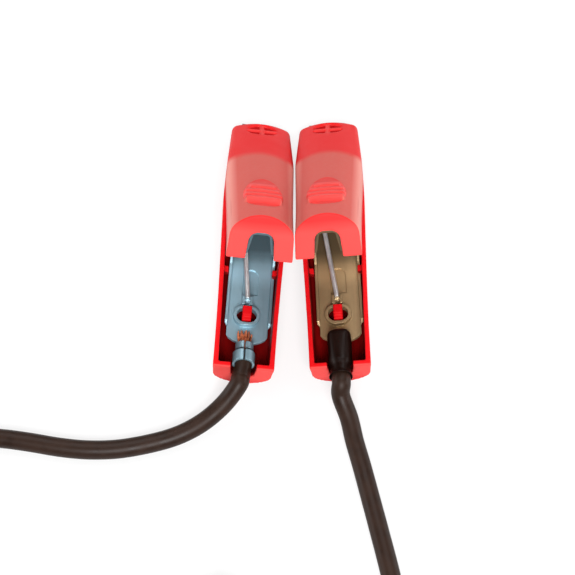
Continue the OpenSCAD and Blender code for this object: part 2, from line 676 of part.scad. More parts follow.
place(left_clamp) grip_shell();  // left_upper_shell
place(left_clamp) lower_half() grip_shell();  // left_lower_shell
place(left_clamp) upper_jaw(zinc);  // left_upper_jaw
place(left_clamp) lower_jaw(zinc);  // left_lower_jaw
place(left_clamp) pivot_rivet();  // left_pivot_rivet
place(left_clamp) spring();  // left_spring
place(left_clamp) left_strands();  // left_copper_strands
place(left_clamp) left_lead_end();
place(right_clamp) grip_shell();  // right_upper_shell
place(right_clamp) lower_half() grip_shell();  // right_lower_shell
place(right_clamp) upper_jaw(bronze);  // right_upper_jaw
place(right_clamp) lower_jaw(bronze);  // right_lower_jaw
place(right_clamp) pivot_rivet();  // right_pivot_rivet
place(right_clamp) spring();  // right_spring
place(right_clamp) right_strands();  // right_copper_strands
place(right_clamp) right_lead_end();
place(right_clamp) shrink_sleeve();  // right_shrink_sleeve
lead_left_run();
lead_right_run();
lead_coil();
coil_tie();
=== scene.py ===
"""Battery clamp link lead: two insulated spring clamps on the two ends of one lead."""
import json
import math
import random
from types import SimpleNamespace

import bmesh
import bpy
import numpy as np
from mathutils import Matrix, Vector


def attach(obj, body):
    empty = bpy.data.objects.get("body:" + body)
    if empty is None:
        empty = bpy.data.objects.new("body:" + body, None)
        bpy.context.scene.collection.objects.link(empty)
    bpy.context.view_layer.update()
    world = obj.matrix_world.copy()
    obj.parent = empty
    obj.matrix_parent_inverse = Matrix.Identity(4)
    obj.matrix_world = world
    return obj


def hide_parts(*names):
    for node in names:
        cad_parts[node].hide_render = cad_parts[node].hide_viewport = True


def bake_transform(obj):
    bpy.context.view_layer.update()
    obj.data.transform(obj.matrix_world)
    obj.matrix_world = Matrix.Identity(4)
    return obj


bl_info = {
    "name": "Battery Clamp Link Lead",
    "version": (1, 0, 0),
    "blender": (4, 5, 0),
    "location": "3D View > Sidebar > Clamps",
    "description": "Dresses a pair of insulated battery clamps and the lead that joins them",
    "category": "Object",
}

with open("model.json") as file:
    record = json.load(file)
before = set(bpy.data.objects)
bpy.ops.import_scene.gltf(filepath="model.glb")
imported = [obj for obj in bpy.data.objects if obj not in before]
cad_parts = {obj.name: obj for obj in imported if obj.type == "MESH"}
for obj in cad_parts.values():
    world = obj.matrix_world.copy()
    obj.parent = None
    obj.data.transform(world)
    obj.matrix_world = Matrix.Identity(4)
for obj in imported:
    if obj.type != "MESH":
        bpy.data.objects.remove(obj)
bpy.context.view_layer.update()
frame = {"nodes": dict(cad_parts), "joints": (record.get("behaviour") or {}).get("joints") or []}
MM = 0.001
LOWER = "lower_halves_and_lead"
UPPER = {"left": "left_upper_half", "right": "right_upper_half"}

# ---- The clamps' lie, as in the part's source: yaw and sideways lean in degrees ------
PITCH = 19.6
LIE = {"left": (-0.95, 6.7), "right": (-0.25, -5.8)}
PIVOT = {j["name"].split("_")[0]: Vector(j["pos_m"]) for j in frame["joints"]}


def turn(angle, axis):
    """A turn in degrees about one of the axes."""
    return Matrix.Rotation(math.radians(angle), 4, axis)


def clamp_matrix(side, lower=False):
    """From a half's own frame in millimetres to the row frame in metres."""
    yaw, lean = LIE[side]
    m = Matrix.Translation(PIVOT[side]) @ turn(yaw, "Z") @ turn(-PITCH, "X") @ turn(lean, "Y")
    if lower:
        m = m @ turn(180, "Y")
    return m @ Matrix.Scale(MM, 4)


# ---- Sizes of the half, in millimetres, as in the part's source ----------------------
BEND_HALF_W, BEND_H, BEND_DROP = 13.2, 16.0, 4.6
HANDLE_L, HANDLE_RIM_Z, END_H, END_LEAN, END_HALF_W = 75.5, 27.0, 16.0, 22.0, 11.5
NOSE_L, NOSE_H, NOSE_HALF_W, TIP_L = 32.2, 6.6, 12.2, 36.5
WALL, NOTCH_W, NOTCH_D = 1.8, 9.8, 9.6
WAIST, WAIST_AT = 0.35, 0.74
MARK_R, MARK_Y, MARK_DEPTH, MARK_BAR = 6.0, 26.0, 1.6, 1.7
RIBS, RIB_PITCH, PAD_REAR, PAD_HALF_W, RIB_RISE, RIB_STEP = 5, 4.6, 62.0, 6.8, 0.9, 0.7
PAD_MID, PAD_REACH, SCOOP_DEPTH = PAD_REAR - 13.2, 14.8, 0.9
RIM_GAP, END_DROP, END_EDGE_HALF = 0.4, 6.1, 10.9
CROWN_END = (-HANDLE_L + END_H * math.sin(math.radians(END_LEAN)),
             HANDLE_RIM_Z + END_H * math.cos(math.radians(END_LEAN)))
HANDLE_SLOPE = math.degrees(math.atan2(CROWN_END[1] - BEND_H, -CROWN_END[0]))
NOSE_SLOPE = math.degrees(math.atan2(BEND_H - NOSE_H, NOSE_L))
# rim Y and Z, crown Y and Z, half width at the rim and at the crown's edges, fall, wall
END = np.array([-HANDLE_L, HANDLE_RIM_Z, *CROWN_END, END_HALF_W, END_EDGE_HALF, END_DROP, WALL])
BEND = np.array([0, RIM_GAP, 0, BEND_H, BEND_HALF_W + 0.1, BEND_HALF_W, BEND_DROP, WALL])
NOSE_DROP = 3.2
STATIONS = np.array([
    END,
    BEND + (END - BEND) * WAIST_AT - WAIST * np.array([0, 0, 0, 0, 1, 1, 0, 0.5]),
    BEND,
    [NOSE_L, RIM_GAP, NOSE_L, NOSE_H, NOSE_HALF_W, NOSE_HALF_W, NOSE_DROP, WALL],
    [34.4, RIM_GAP, 34.4, 4.7, 11.4, 11.3, 2.2, 1.3],
    [TIP_L, RIM_GAP, TIP_L, 2.5, 10, 9.8, 1.1, 1.0]])
ROUNDED = ((1, 14.0), (2, 5.0), (3, 1.2), (4, 0.8))     # station, reach of its rounding
SLANT = 1.08                   # length along the handle of a wall that leans like its end
WEB_BASE, WEB_SLOPE = 9.6, 0.37
WEB_ANGLE = math.degrees(math.atan(WEB_SLOPE))
SHEET = 1.0
TONGUE_Y, TONGUE_SLOPE = -58.2, 11.3
JACKET_IN, CORE_IN = 3.3, 2.6
NOTCH_CORNER_R, NOTCH_TOP_HALF = 3.3, 4.4
POST_RISE, POST_CHORD, POST_Y = 2.5, 10.0, 20.0
SLOT_HALF_W, SLOT_REAR, SLOT_FRONT = 8.6, 33, 39
HOOK_Y, HOOK_HALF_W = -48.1, 1.8
HOOK_OUTLINE = [(-2.3, -2.4), (-0.5, -2.4), (-0.5, -3.5), (3.5, -3.5),
                (3.5, -2.2), (1.6, -2.2), (1.6, 4.8), (-2.3, 4.8)]
SEAT_Y, SEAT_X, SEAT_HALF_W = -40, 5.6, 0.6
NUB_Y, NUB_X, NUB_HALF_W = -31, 10, 1.5
PAD_OVAL_HALF = 7
RIB_FIRST_TOP, RIB_FOOT = 0.3, -1.3          # over the crown
RIB_ARCH, RIB_FOOT_ARCH = 100, 31            # a crest and a foot fall by x * x over these
RIB_OVAL, RIB_OVAL_REAR = 14.2, 4.8          # the oval that the ribs' ends follow
RIB_END = ((0.0, 0.55), (0.14, 0.3), (0.4, 0.08), (0.8, 0.0))     # way in, how far it sinks
SPRING_R, SPRING_PITCH, SPRING_TURNS = 4.85, 2.5, 4
SPRING_WIRE_R, LEG_GAP, LEG_X, LEG_Y = 0.95, 0.05, 0.1, -41.2
SHADE_FRONT = -0.0060        # the jaws are painted darker ahead of here, as shade, in metres
STRANDS, TUFT_PITCH, TUFT_SPREAD = 110, 1.1, 1.15


def web_z(y):
    """Height of the steel's web at y."""
    return WEB_BASE - WEB_SLOPE * y


def on_web(y):
    return Matrix.Translation((0, y, web_z(y))) @ turn(-WEB_ANGLE, "X")


def on_crown():
    return Matrix.Translation((0, 0, BEND_H)) @ turn(-HANDLE_SLOPE, "X")


def on_nose(y):
    z = BEND_H - y * math.tan(math.radians(NOSE_SLOPE))
    return Matrix.Translation((0, y, z)) @ turn(-NOSE_SLOPE, "X")


def on_end_wall():
    return Matrix.Translation((0, -HANDLE_L, HANDLE_RIM_Z)) @ turn(-END_LEAN, "X")


def on_tongue():
    return Matrix.Translation((0, TONGUE_Y, web_z(TONGUE_Y))) @ turn(-TONGUE_SLOPE, "X")


# ---- Mesh helpers --------------------------------------------------------------------
def sizes():
    return bpy.context.scene.link_lead_sizes


def finishes():
    return bpy.context.scene.link_lead_finishes


def object_of(name, mesh):
    """A new object of that mesh or light, linked into the scene."""
    obj = bpy.data.objects.new(name, mesh)
    bpy.context.scene.collection.objects.link(obj)
    return obj


def refinish(node_name, material):
    """Gives one of the part's nodes this material alone."""
    node = frame["nodes"][node_name]
    node.data.materials.clear()
    node.data.materials.append(material)


def mesh_of(name, verts, faces):
    mesh = bpy.data.meshes.new(name)
    mesh.from_pydata([tuple(v) for v in verts], [], faces)
    mesh.validate()
    return mesh


def baked(obj):
    """The object's mesh with its modifiers applied, as a new plain mesh."""
    graph = bpy.context.evaluated_depsgraph_get()
    mesh = bpy.data.meshes.new_from_object(obj.evaluated_get(graph))
    obj.modifiers.clear()
    return mesh


def smooth(mesh):
    mesh.shade_smooth()
    return mesh


def loft(rings):
    """Faces over rings of the same number of points, and flat caps on the two ends."""
    n = len(rings[0])
    verts = [v for ring in rings for v in ring]
    faces = []
    for i in range(len(rings) - 1):
        for j in range(n):
            a, b = i * n + j, i * n + (j + 1) % n
            faces.append((a, b, b + n, a + n))
    faces.append(tuple(reversed(range(n))))
    faces.append(tuple((len(rings) - 1) * n + j for j in range(n)))
    return verts, faces


def outward(mesh):
    """The mesh with its doubles merged and its faces pointing out."""
    bm = bmesh.new()
    bm.from_mesh(mesh)
    bmesh.ops.remove_doubles(bm, verts=bm.verts, dist=1e-6)
    bmesh.ops.recalc_face_normals(bm, faces=bm.faces)
    bm.to_mesh(mesh)
    bm.free()
    return mesh


def tool_from(name, verts, faces, matrix=Matrix.Identity(4)):
    """A closed solid, to be combined with another."""
    mesh = mesh_of(name, verts, faces)
    mesh.transform(matrix)
    return object_of(name, outward(mesh))


def prism(name, outline, depth, matrix, axis="Z"):
    """A flat outline carried through depth. Along X, the outline's pair is (Y, Z)."""
    def at(p, k):
        return (k, p[0], p[1]) if axis == "X" else (p[0], p[1], k)
    rings = [[at(p, k) for p in outline] for k in depth]
    return tool_from(name, *loft(rings), matrix=matrix)


def disc(r, n=72, centre=(0, 0)):
    """A round outline of n points."""
    return [(centre[0] + r * math.cos(2 * math.pi * k / n),
             centre[1] + r * math.sin(2 * math.pi * k / n)) for k in range(n)]


def rectangle(x0, x1, y0, y1):
    return [(x0, y0), (x1, y0), (x1, y1), (x0, y1)]


def arc_radius(half_chord, rise):
    """Radius of an arc that rises that far over its chord."""
    return (half_chord ** 2 + rise ** 2) / (2 * rise)


def combine(obj, tools, operation):
    """The object after a boolean with each tool, which are used up."""
    for tool in tools:
        cut = obj.modifiers.new("cut", "BOOLEAN")
        cut.object, cut.operation, cut.solver = tool, operation, "EXACT"
        new, old = baked(obj), obj.data
        obj.data = new
        bpy.data.meshes.remove(old)
        bpy.data.objects.remove(tool)
    return obj


def bezier_corner(p0, corner, p1, n):
    """A corner rounded from p0 to p1."""
    return [(1 - t) ** 2 * p0 + 2 * t * (1 - t) * corner + t * t * p1
            for t in np.linspace(0, 1, n)]


# ---- Grip shell ----------------------------------------------------------------------
def section(s, inset, below):
    """The arched outline of the shell at a station, with round crown edges."""
    rim, crown = s[0:2], s[2:4]
    up = (crown - rim) / np.linalg.norm(crown - rim)
    h, w = np.linalg.norm(crown - rim) - inset, s[5] - inset
    arc_r = arc_radius(s[5], s[6]) - inset
    half = math.asin(w / arc_r)
    edge = h - arc_r * (1 - math.cos(half))
    soft = min(sizes().crown_edge_radius / MM - inset / 2, 0.6 * (edge + below))
    foot, corner = np.array([s[4] - inset, -below]), np.array([w, edge])
    down = (foot - corner) / np.linalg.norm(foot - corner)
    cut = half - soft / arc_r
    on_arc = np.array([arc_r * math.sin(cut), h - arc_r + arc_r * math.cos(cut)])
    side = [foot + (corner + down * soft - foot) * t for t in np.linspace(0, 1, 6)[:-1]]
    side += bezier_corner(corner + down * soft, corner, on_arc, 7)
    arc = [np.array([arc_r * math.sin(a), h - arc_r + arc_r * math.cos(a)])
           for a in np.linspace(cut, -cut, 25)[1:-1]]
    flat = side + arc + [p * [-1, 1] for p in reversed(side)]
    return [(p[0], rim[0] + up[0] * p[1], rim[1] + up[1] * p[1]) for p in flat]


def stations(fine=3.0):
    """The stations, close together, with the bend and the nose's shoulder rounded."""
    line = [STATIONS[0]]
    for i, reach in ROUNDED:
        before, here, after = STATIONS[i - 1], STATIONS[i], STATIONS[i + 1]
        a = here + (before - here) * reach / np.linalg.norm((here - before)[2:4])
        b = here + (after - here) * reach / np.linalg.norm((after - here)[2:4])
        line += bezier_corner(a, here, b, 7)
    line.append(STATIONS[5])
    out = []
    for a, b in zip(line, line[1:]):
        n = max(1, int(abs(b[2] - a[2]) / fine))
        out += [a + (b - a) * k / n for k in range(n)]
    return out + [line[-1]]


def rib_s(i):
    """How far behind the bend the steep face of rib i lies, on the crown's slope."""
    return PAD_REAR - (RIBS - 1 - i) * RIB_PITCH


def rib_top(i):
    """Height of rib i over the crown."""
    return RIB_FIRST_TOP + (RIB_RISE - RIB_FIRST_TOP) * i / (RIBS - 1)


def rib_half(i):
    """Half the length of rib i, across the pad."""
    return PAD_HALF_W * math.sqrt(1 - ((rib_s(i) - PAD_MID - RIB_OVAL_REAR) / RIB_OVAL) ** 2)


def rib_ring(i, x, sink):
    """The section of a rib at x; its crest sinks where the rib rounds off."""
    arch, foot = x * x / RIB_ARCH, RIB_FOOT - x * x / RIB_FOOT_ARCH
    y, top = -rib_s(i), rib_top(i)
    reach, low = 5.3, -0.3
    if i > 0:
        reach, low = RIB_PITCH + 0.3, rib_top(i - 1) - RIB_STEP - 0.06
    crest = top - arch - sink
    belly = (top + low) / 2 + 0.08 - arch - sink * 0.6
    return [(x, y + sink, foot), (x, y + sink, crest - 0.35),
            (x, y + 0.1 + sink, crest - 0.1), (x, y + 0.4 + sink, crest),
            (x, y + reach * 0.55, belly), (x, y + reach, low - arch - sink * 0.4),
            (x, y + reach, foot)]


def pad_rib(i):
    """Rib i of the thumb pad, rounded off at both ends."""
    half = rib_half(i)
    spots = [(-half + way_in, sink) for way_in, sink in RIB_END]
    spots += [(x, 0.0) for x in np.linspace(-half + 1.4, half - 1.4, 9)]
    spots += [(half - way_in, sink) for way_in, sink in reversed(RIB_END)]
    rings = [rib_ring(i, x, sink) for x, sink in spots]
    return tool_from("rib", *loft(rings), matrix=on_crown())


def crown_arc_radius(s):
    """Radius of the crown's arch at s behind the bend, along its slope."""
    k = min(1, s * math.cos(math.radians(HANDLE_SLOPE)) / HANDLE_L)
    return arc_radius(BEND_HALF_W + (END_EDGE_HALF - BEND_HALF_W) * k,
                      BEND_DROP + (END_DROP - BEND_DROP) * k)


def pad_scoop():
    """The pad's oval, its floor arched like the crown and flush in front of the first rib."""
    oval = [(PAD_OVAL_HALF * math.cos(a), -PAD_MID + PAD_REACH * math.sin(a))
            for a in np.linspace(0, 2 * math.pi, 97)[:-1]]
    cutter = prism("scoop", oval, (-6, 6), on_crown())
    flush, past_oval, half, high = 0.14, 1, 9, 8
    floor = []
    for s, depth in ((PAD_MID + PAD_REACH + past_oval, SCOOP_DEPTH), (rib_s(0) - 0.3, SCOOP_DEPTH),
                     (rib_s(0) - 0.5, flush), (PAD_MID - PAD_REACH - past_oval, flush)):
        r = crown_arc_radius(s)
        arc = [(x, -s, -depth - r + math.sqrt(r * r - x * x))
               for x in np.linspace(-half, half, 25)]
        floor.append(arc + [(half, -s, high), (-half, -s, high)])
    combine(cutter, [tool_from("floor", *loft(floor), matrix=on_crown())], "INTERSECT")
    return cutter


def notch_outline():
    """The cable notch: open at the rim, with two round corners."""
    arch = [(side * (NOTCH_TOP_HALF - NOTCH_CORNER_R) + NOTCH_CORNER_R * math.cos(a),
             NOTCH_D - NOTCH_CORNER_R + NOTCH_CORNER_R * math.sin(a))
            for side, from_a in ((1, 0), (-1, math.pi / 2))
            for a in np.linspace(from_a, from_a + math.pi / 2, 13)]
    return [(-NOTCH_W / 2 - 0.2, -2), (NOTCH_W / 2 + 0.2, -2)] + arch


def plus_outline(bar, reach):
    """A plus of that half bar and that reach from its middle."""
    return [(bar, bar), (bar, reach), (-bar, reach), (-bar, bar), (-reach, bar), (-reach, -bar),
            (-bar, -bar), (-bar, -reach), (bar, -reach), (bar, -bar), (reach, -bar), (reach, bar)]


def shell_body():
    """The wall of the moulding: the outer form less a hollow that is open at the rim."""
    rows = stations()
    body = tool_from("shell", *loft([section(s, 0, 0) for s in rows]))
    past_tip = np.array([1, 0, 1, 0, 0, 0, 0, 0.0])
    start = END + (STATIONS[1] - END) * WALL * SLANT / (HANDLE_L * (1 - WAIST_AT))
    hollow = [start] + [s for s in rows if s[2] > start[2] + 1]
    rings = [section(s, s[7], 3) for s in hollow] + [section(STATIONS[5] + past_tip, 1.0, 3)]
    return combine(body, [tool_from("hollow", *loft(rings))], "DIFFERENCE")


def shell_cuts():
    """The cable notch, the recess of the plus, the thumb pad, the post's arch and the slot
    for the jaw's tip."""
    post_r = arc_radius(POST_CHORD, POST_RISE)
    post = disc(post_r, 128, (POST_Y, RIM_GAP + POST_RISE - post_r))
    slot = rectangle(-SLOT_HALF_W, SLOT_HALF_W, SLOT_REAR, SLOT_FRONT)
    return [
        prism("notch", notch_outline(), (-4, 8), on_end_wall() @ turn(90, "X")),
        prism("recess", disc(MARK_R), (-MARK_DEPTH, 6), on_nose(MARK_Y)),
        pad_scoop(),
        prism("arch", post, (-30, 30), Matrix.Identity(4), "X"),
        prism("slot", slot, (-1, 1.5), Matrix.Identity(4)),
    ]


def shell_additions():
    """The plus, the thumb pad's ribs, and the seats, nubs and hook that hold the steel."""
    mark_floor = on_nose(MARK_Y) @ Matrix.Translation((0, 0, -MARK_DEPTH - 0.2))
    parts = [prism("plus", plus_outline(MARK_BAR / 2, MARK_R - 0.6), (0, 1.3), mark_floor)]
    parts += [pad_rib(i) for i in range(RIBS)]
    for x in (-SEAT_X, SEAT_X):
        seat = rectangle(x - SEAT_HALF_W, x + SEAT_HALF_W, -14, 16)
        parts.append(prism("seat", seat, (SHEET + 0.02, SHEET + 2.42), on_web(SEAT_Y)))
    for x in (-NUB_X, NUB_X):
        nub = rectangle(x - NUB_HALF_W, x + NUB_HALF_W, -1.6, 1.6)
        parts.append(prism("nub", nub, (-3.5, -2.0), on_web(NUB_Y)))
    hook_depth = (-HOOK_HALF_W, HOOK_HALF_W)
    parts.append(prism("hook", HOOK_OUTLINE, hook_depth, on_web(HOOK_Y), "X"))
    return parts


def shell_half():
    """One moulded half in its own frame, in millimetres."""
    obj = shell_body()
    collar = prism("collar", disc(MARK_R + 1.2), (-2.4, -1.2), on_nose(MARK_Y))
    combine(obj, [collar], "UNION")
    combine(obj, shell_cuts(), "DIFFERENCE")
    combine(obj, shell_additions(), "UNION")

    remesh = obj.modifiers.new("remesh", "REMESH")
    remesh.mode, remesh.voxel_size = "VOXEL", sizes().shell_grain / MM
    soften = obj.modifiers.new("soften", "SMOOTH")
    soften.factor, soften.iterations = 0.5, 2
    thin = obj.modifiers.new("thin", "DECIMATE")
    thin.ratio = 0.3
    mesh = smooth(baked(obj))
    bpy.data.objects.remove(obj)
    # where each point lies in the half, for its zones of finish and of painted light and shade
    place = mesh.attributes.new("half_place", "FLOAT_VECTOR", "POINT")
    flat = np.empty(len(mesh.vertices) * 3, dtype=np.float32)
    mesh.vertices.foreach_get("co", flat)
    place.data.foreach_set("vector", flat)
    return mesh


# ---- Node material helpers -----------------------------------------------------------
def toned(colour, share):
    """The colour, darker or lighter by that share."""
    return [min(1, c * share) for c in colour[:3]]


class Painter:
    """Builds one node material, a step at a time."""

    def __init__(self, name, colour, roughness, metallic=0.0):
        self.material = bpy.data.materials.new(name)
        self.material.use_nodes = True
        self.tree = self.material.node_tree
        self.shader = self.tree.nodes["Principled BSDF"]
        self.shader.inputs["Base Color"].default_value = (*colour[:3], 1)
        self.shader.inputs["Roughness"].default_value = roughness
        self.shader.inputs["Metallic"].default_value = metallic
        self.place = self.tree.nodes.new("ShaderNodeTexCoord").outputs["Object"]

    def node(self, kind, **settings):
        made = self.tree.nodes.new(kind)
        for key, value in settings.items():
            setattr(made, key, value)
        return made

    def link(self, a, b):
        self.tree.links.new(a, b)

    def stretched(self, scale):
        mapping = self.node("ShaderNodeMapping")
        mapping.inputs["Scale"].default_value = scale
        self.link(self.place, mapping.inputs["Vector"])
        return mapping.outputs["Vector"]

    def noise(self, scale, detail=3.0, rough=0.5, vector=None):
        made = self.node("ShaderNodeTexNoise")
        made.inputs["Scale"].default_value = scale
        made.inputs["Detail"].default_value = detail
        made.inputs["Roughness"].default_value = rough
        self.link(vector or self.place, made.inputs["Vector"])
        return made.outputs["Fac"]

    def levels(self, value, low, high, to_low, to_high):
        made = self.node("ShaderNodeMapRange")
        keys = ("From Min", "From Max", "To Min", "To Max")
        for key, number in zip(keys, (low, high, to_low, to_high)):
            made.inputs[key].default_value = number
        self.link(value, made.inputs["Value"])
        return made.outputs["Result"]

    def fade(self, value, span):
        """From 0 to 1 as the value goes from one end of the span to the other."""
        return self.levels(value, *span, 0, 1)

    def ramp(self, value, stops):
        made = self.node("ShaderNodeValToRGB")
        band = made.color_ramp
        while len(band.elements) < len(stops):
            band.elements.new(0.5)
        for element, (at, colour) in zip(band.elements, stops):
            element.position, element.color = at, (*colour[:3], 1)
        self.link(value, made.inputs["Fac"])
        return made.outputs["Color"]

    def feed(self, socket, value):
        """Links another socket in, or sets a number or a colour."""
        if hasattr(value, "default_value"):
            self.link(value, socket)
        else:
            socket.default_value = (*value[:3], 1) if hasattr(value, "__len__") else value

    def blend(self, factor, a, b):
        made = self.node("ShaderNodeMix", data_type="RGBA")
        for at, value in ((6, a), (7, b), (0, factor)):
            self.feed(made.inputs[at], value)
        return made.outputs[2]

    def maths(self, operation, a, b):
        made = self.node("ShaderNodeMath", operation=operation)
        for socket, value in zip(made.inputs, (a, b)):
            self.feed(socket, value)
        return made.outputs[0]

    def add(self, a, b):
        return self.maths("ADD", a, b)

    def less(self, a, b):
        return self.maths("SUBTRACT", a, b)

    def times(self, a, b):
        return self.maths("MULTIPLY", a, b)

    def bump(self, height, strength, distance, under=None):
        made = self.node("ShaderNodeBump")
        made.inputs["Strength"].default_value = strength
        made.inputs["Distance"].default_value = distance
        self.link(height, made.inputs["Height"])
        if under is not None:
            self.link(under, made.inputs["Normal"])
        return made.outputs["Normal"]

    def round_edges(self, radius):
        made = self.node("ShaderNodeBevel", samples=6)
        made.inputs["Radius"].default_value = radius
        return made.outputs["Normal"]

    def use(self, socket, value):
        self.link(value, self.shader.inputs[socket])


# The spans in which the zones of the red moulding fade in, in millimetres. Distances over the
# crown, the nose and the web and past the sides are below zero inside them.
SPAN = {
    "on_top": (-1.3, -1.1), "on_side": (-1.0, -0.8), "near_crown": (-9.0, -6.0),
    "ahead_of_end": (0.35, 0.75), "behind_bend": (-1.4, 4.2), "edge": (-3.2, -0.4),
    "in_oval": (1.03, 0.97), "pad_floor": (-1.6, -1.4),
    "crescent": (rib_s(0) - 4.0, rib_s(0) - 4.4),
    "in_mark": ((MARK_R + 0.1) ** 2, MARK_R ** 2), "mark_floor": (-1.1, -1.3),
    "in_bars": ((MARK_R - 0.3) ** 2, (MARK_R - 0.4) ** 2), "bar_tops": (-1.3, -1.1),
    "outside": (4, 4.5), "above_rim": (0.25, 0.6), "rear": (-3, -9),
    "hook_sides": (2.2, 2.0), "hook_top": (3.4, 3.2),
    "nub_rear": (-33.4, -33.2), "nub_front": (-28.8, -29.0), "nub_top": (-1.6, -1.8),
    "nose": (-6, -2), "nose_rim": (1.2, 2.2), "wall_top": (9.5, 13.5),
}
SHEEN_WANDER = 3.0             # how far the mottling moves the front of the painted sheen


def red_measures(paint):
    """Where a point of the half lies in millimetres, and how far from each of its surfaces."""
    add, less, times = paint.add, paint.less, paint.times
    half_place = paint.node("ShaderNodeAttribute", attribute_name="half_place")
    spot = paint.node("ShaderNodeSeparateXYZ")
    paint.link(half_place.outputs["Vector"], spot.inputs[0])
    across, along, height = spot.outputs

    def square(value):
        return times(value, value)

    def over(forward, up, angle):
        """Height over a plane that rises to the rear at angle."""
        a = math.radians(angle)
        return add(times(forward, math.sin(a)), times(up, math.cos(a)))

    def ahead(forward, up, angle):
        """Way forward on such a plane."""
        a = math.radians(angle)
        return less(times(forward, math.cos(a)), times(up, math.sin(a)))

    wide = paint.maths("ABSOLUTE", across, 0.0)
    bend_r, end_r = arc_radius(BEND_HALF_W, BEND_DROP), arc_radius(END_EDGE_HALF, END_DROP)
    arch_r = add(times(along, (bend_r - end_r) / HANDLE_L), bend_r)
    arch_fall = less(arch_r, paint.maths("SQRT", less(square(arch_r), square(across)), 0.0))
    side_slope = (BEND_HALF_W - END_HALF_W) / HANDLE_L
    side = add(times(along, side_slope), BEND_HALF_W - WAIST / 2)
    rim_slope = math.degrees(math.atan((HANDLE_RIM_Z - RIM_GAP) / HANDLE_L))
    from_bend = less(height, BEND_H)
    from_end, from_end_rim = add(along, HANDLE_L), less(height, HANDLE_RIM_Z)
    back = times(ahead(along, from_bend, HANDLE_SLOPE), -1.0)
    across_pad = times(across, 1 / (PAD_OVAL_HALF + 0.15))
    along_pad = times(less(back, PAD_MID), 1 / (PAD_REACH + 0.15))
    along_mark = times(less(along, MARK_Y), 1 / math.cos(math.radians(NOSE_SLOPE)))
    return SimpleNamespace(
        along=along, height=height, wide=wide, back=back,
        over_crown=add(over(along, from_bend, HANDLE_SLOPE), arch_fall),
        over_nose=over(along, from_bend, NOSE_SLOPE),
        over_rim=over(along, less(height, RIM_GAP), rim_slope),
        over_web=over(along, less(height, WEB_BASE), WEB_ANGLE),
        past_side=less(wide, side),
        to_end=ahead(from_end, from_end_rim, END_LEAN),
        up_wall=over(from_end, from_end_rim, END_LEAN),
        oval=add(square(across_pad), square(along_pad)),
        from_mark=add(square(across), square(along_mark)))


def red_zones(paint, at, mottle):
    """How far a point belongs to each zone, from 0 to 1."""
    def inside(value, name):
        return paint.fade(value, SPAN[name])

    def both(*masks):
        product = masks[0]
        for mask in masks[1:]:
            product = paint.times(product, mask)
        return product

    def outside(mask):
        return paint.less(1.0, mask)

    skin = paint.maths("MAXIMUM", inside(at.over_crown, "on_top"), inside(at.past_side, "on_side"))
    ahead_of_end = inside(at.to_end, "ahead_of_end")
    wander = paint.times(paint.less(mottle, 0.5), SHEEN_WANDER)
    behind = inside(paint.add(at.back, wander), "behind_bend")
    pad = both(inside(at.oval, "in_oval"), inside(at.over_crown, "pad_floor"))
    crown = paint.less(inside(at.over_crown, "near_crown"), pad)
    # the handles' crowns: rougher, and painted paler as a sheen of reflected light
    painted_sheen = both(skin, behind, ahead_of_end, crown)
    hook = both(inside(at.wide, "hook_sides"), inside(at.over_web, "hook_top"))
    nub = both(inside(at.along, "nub_rear"), inside(at.along, "nub_front"),
               inside(at.over_web, "nub_top"))
    # zones where the colour paints light and shade: the crowns' sheen, the sides' highlight and
    # the shaded hollow
    return SimpleNamespace(
        pad=pad, painted_sheen=painted_sheen,
        edge=both(painted_sheen, inside(at.past_side, "edge")),
        crescent=both(pad, inside(at.back, "crescent")),
        end_wall=outside(ahead_of_end),
        nose=both(inside(at.along, "nose"), inside(at.height, "nose_rim")),
        mark_floor=both(inside(at.from_mark, "in_mark"), inside(at.over_nose, "mark_floor")),
        mark_bars=both(inside(at.from_mark, "in_bars"), inside(at.over_nose, "bar_tops"),
                       inside(at.height, "outside")),
        hollow=both(outside(skin), outside(pad), ahead_of_end, inside(at.over_rim, "above_rim"),
                    inside(at.along, "rear"), outside(hook), outside(nub)))


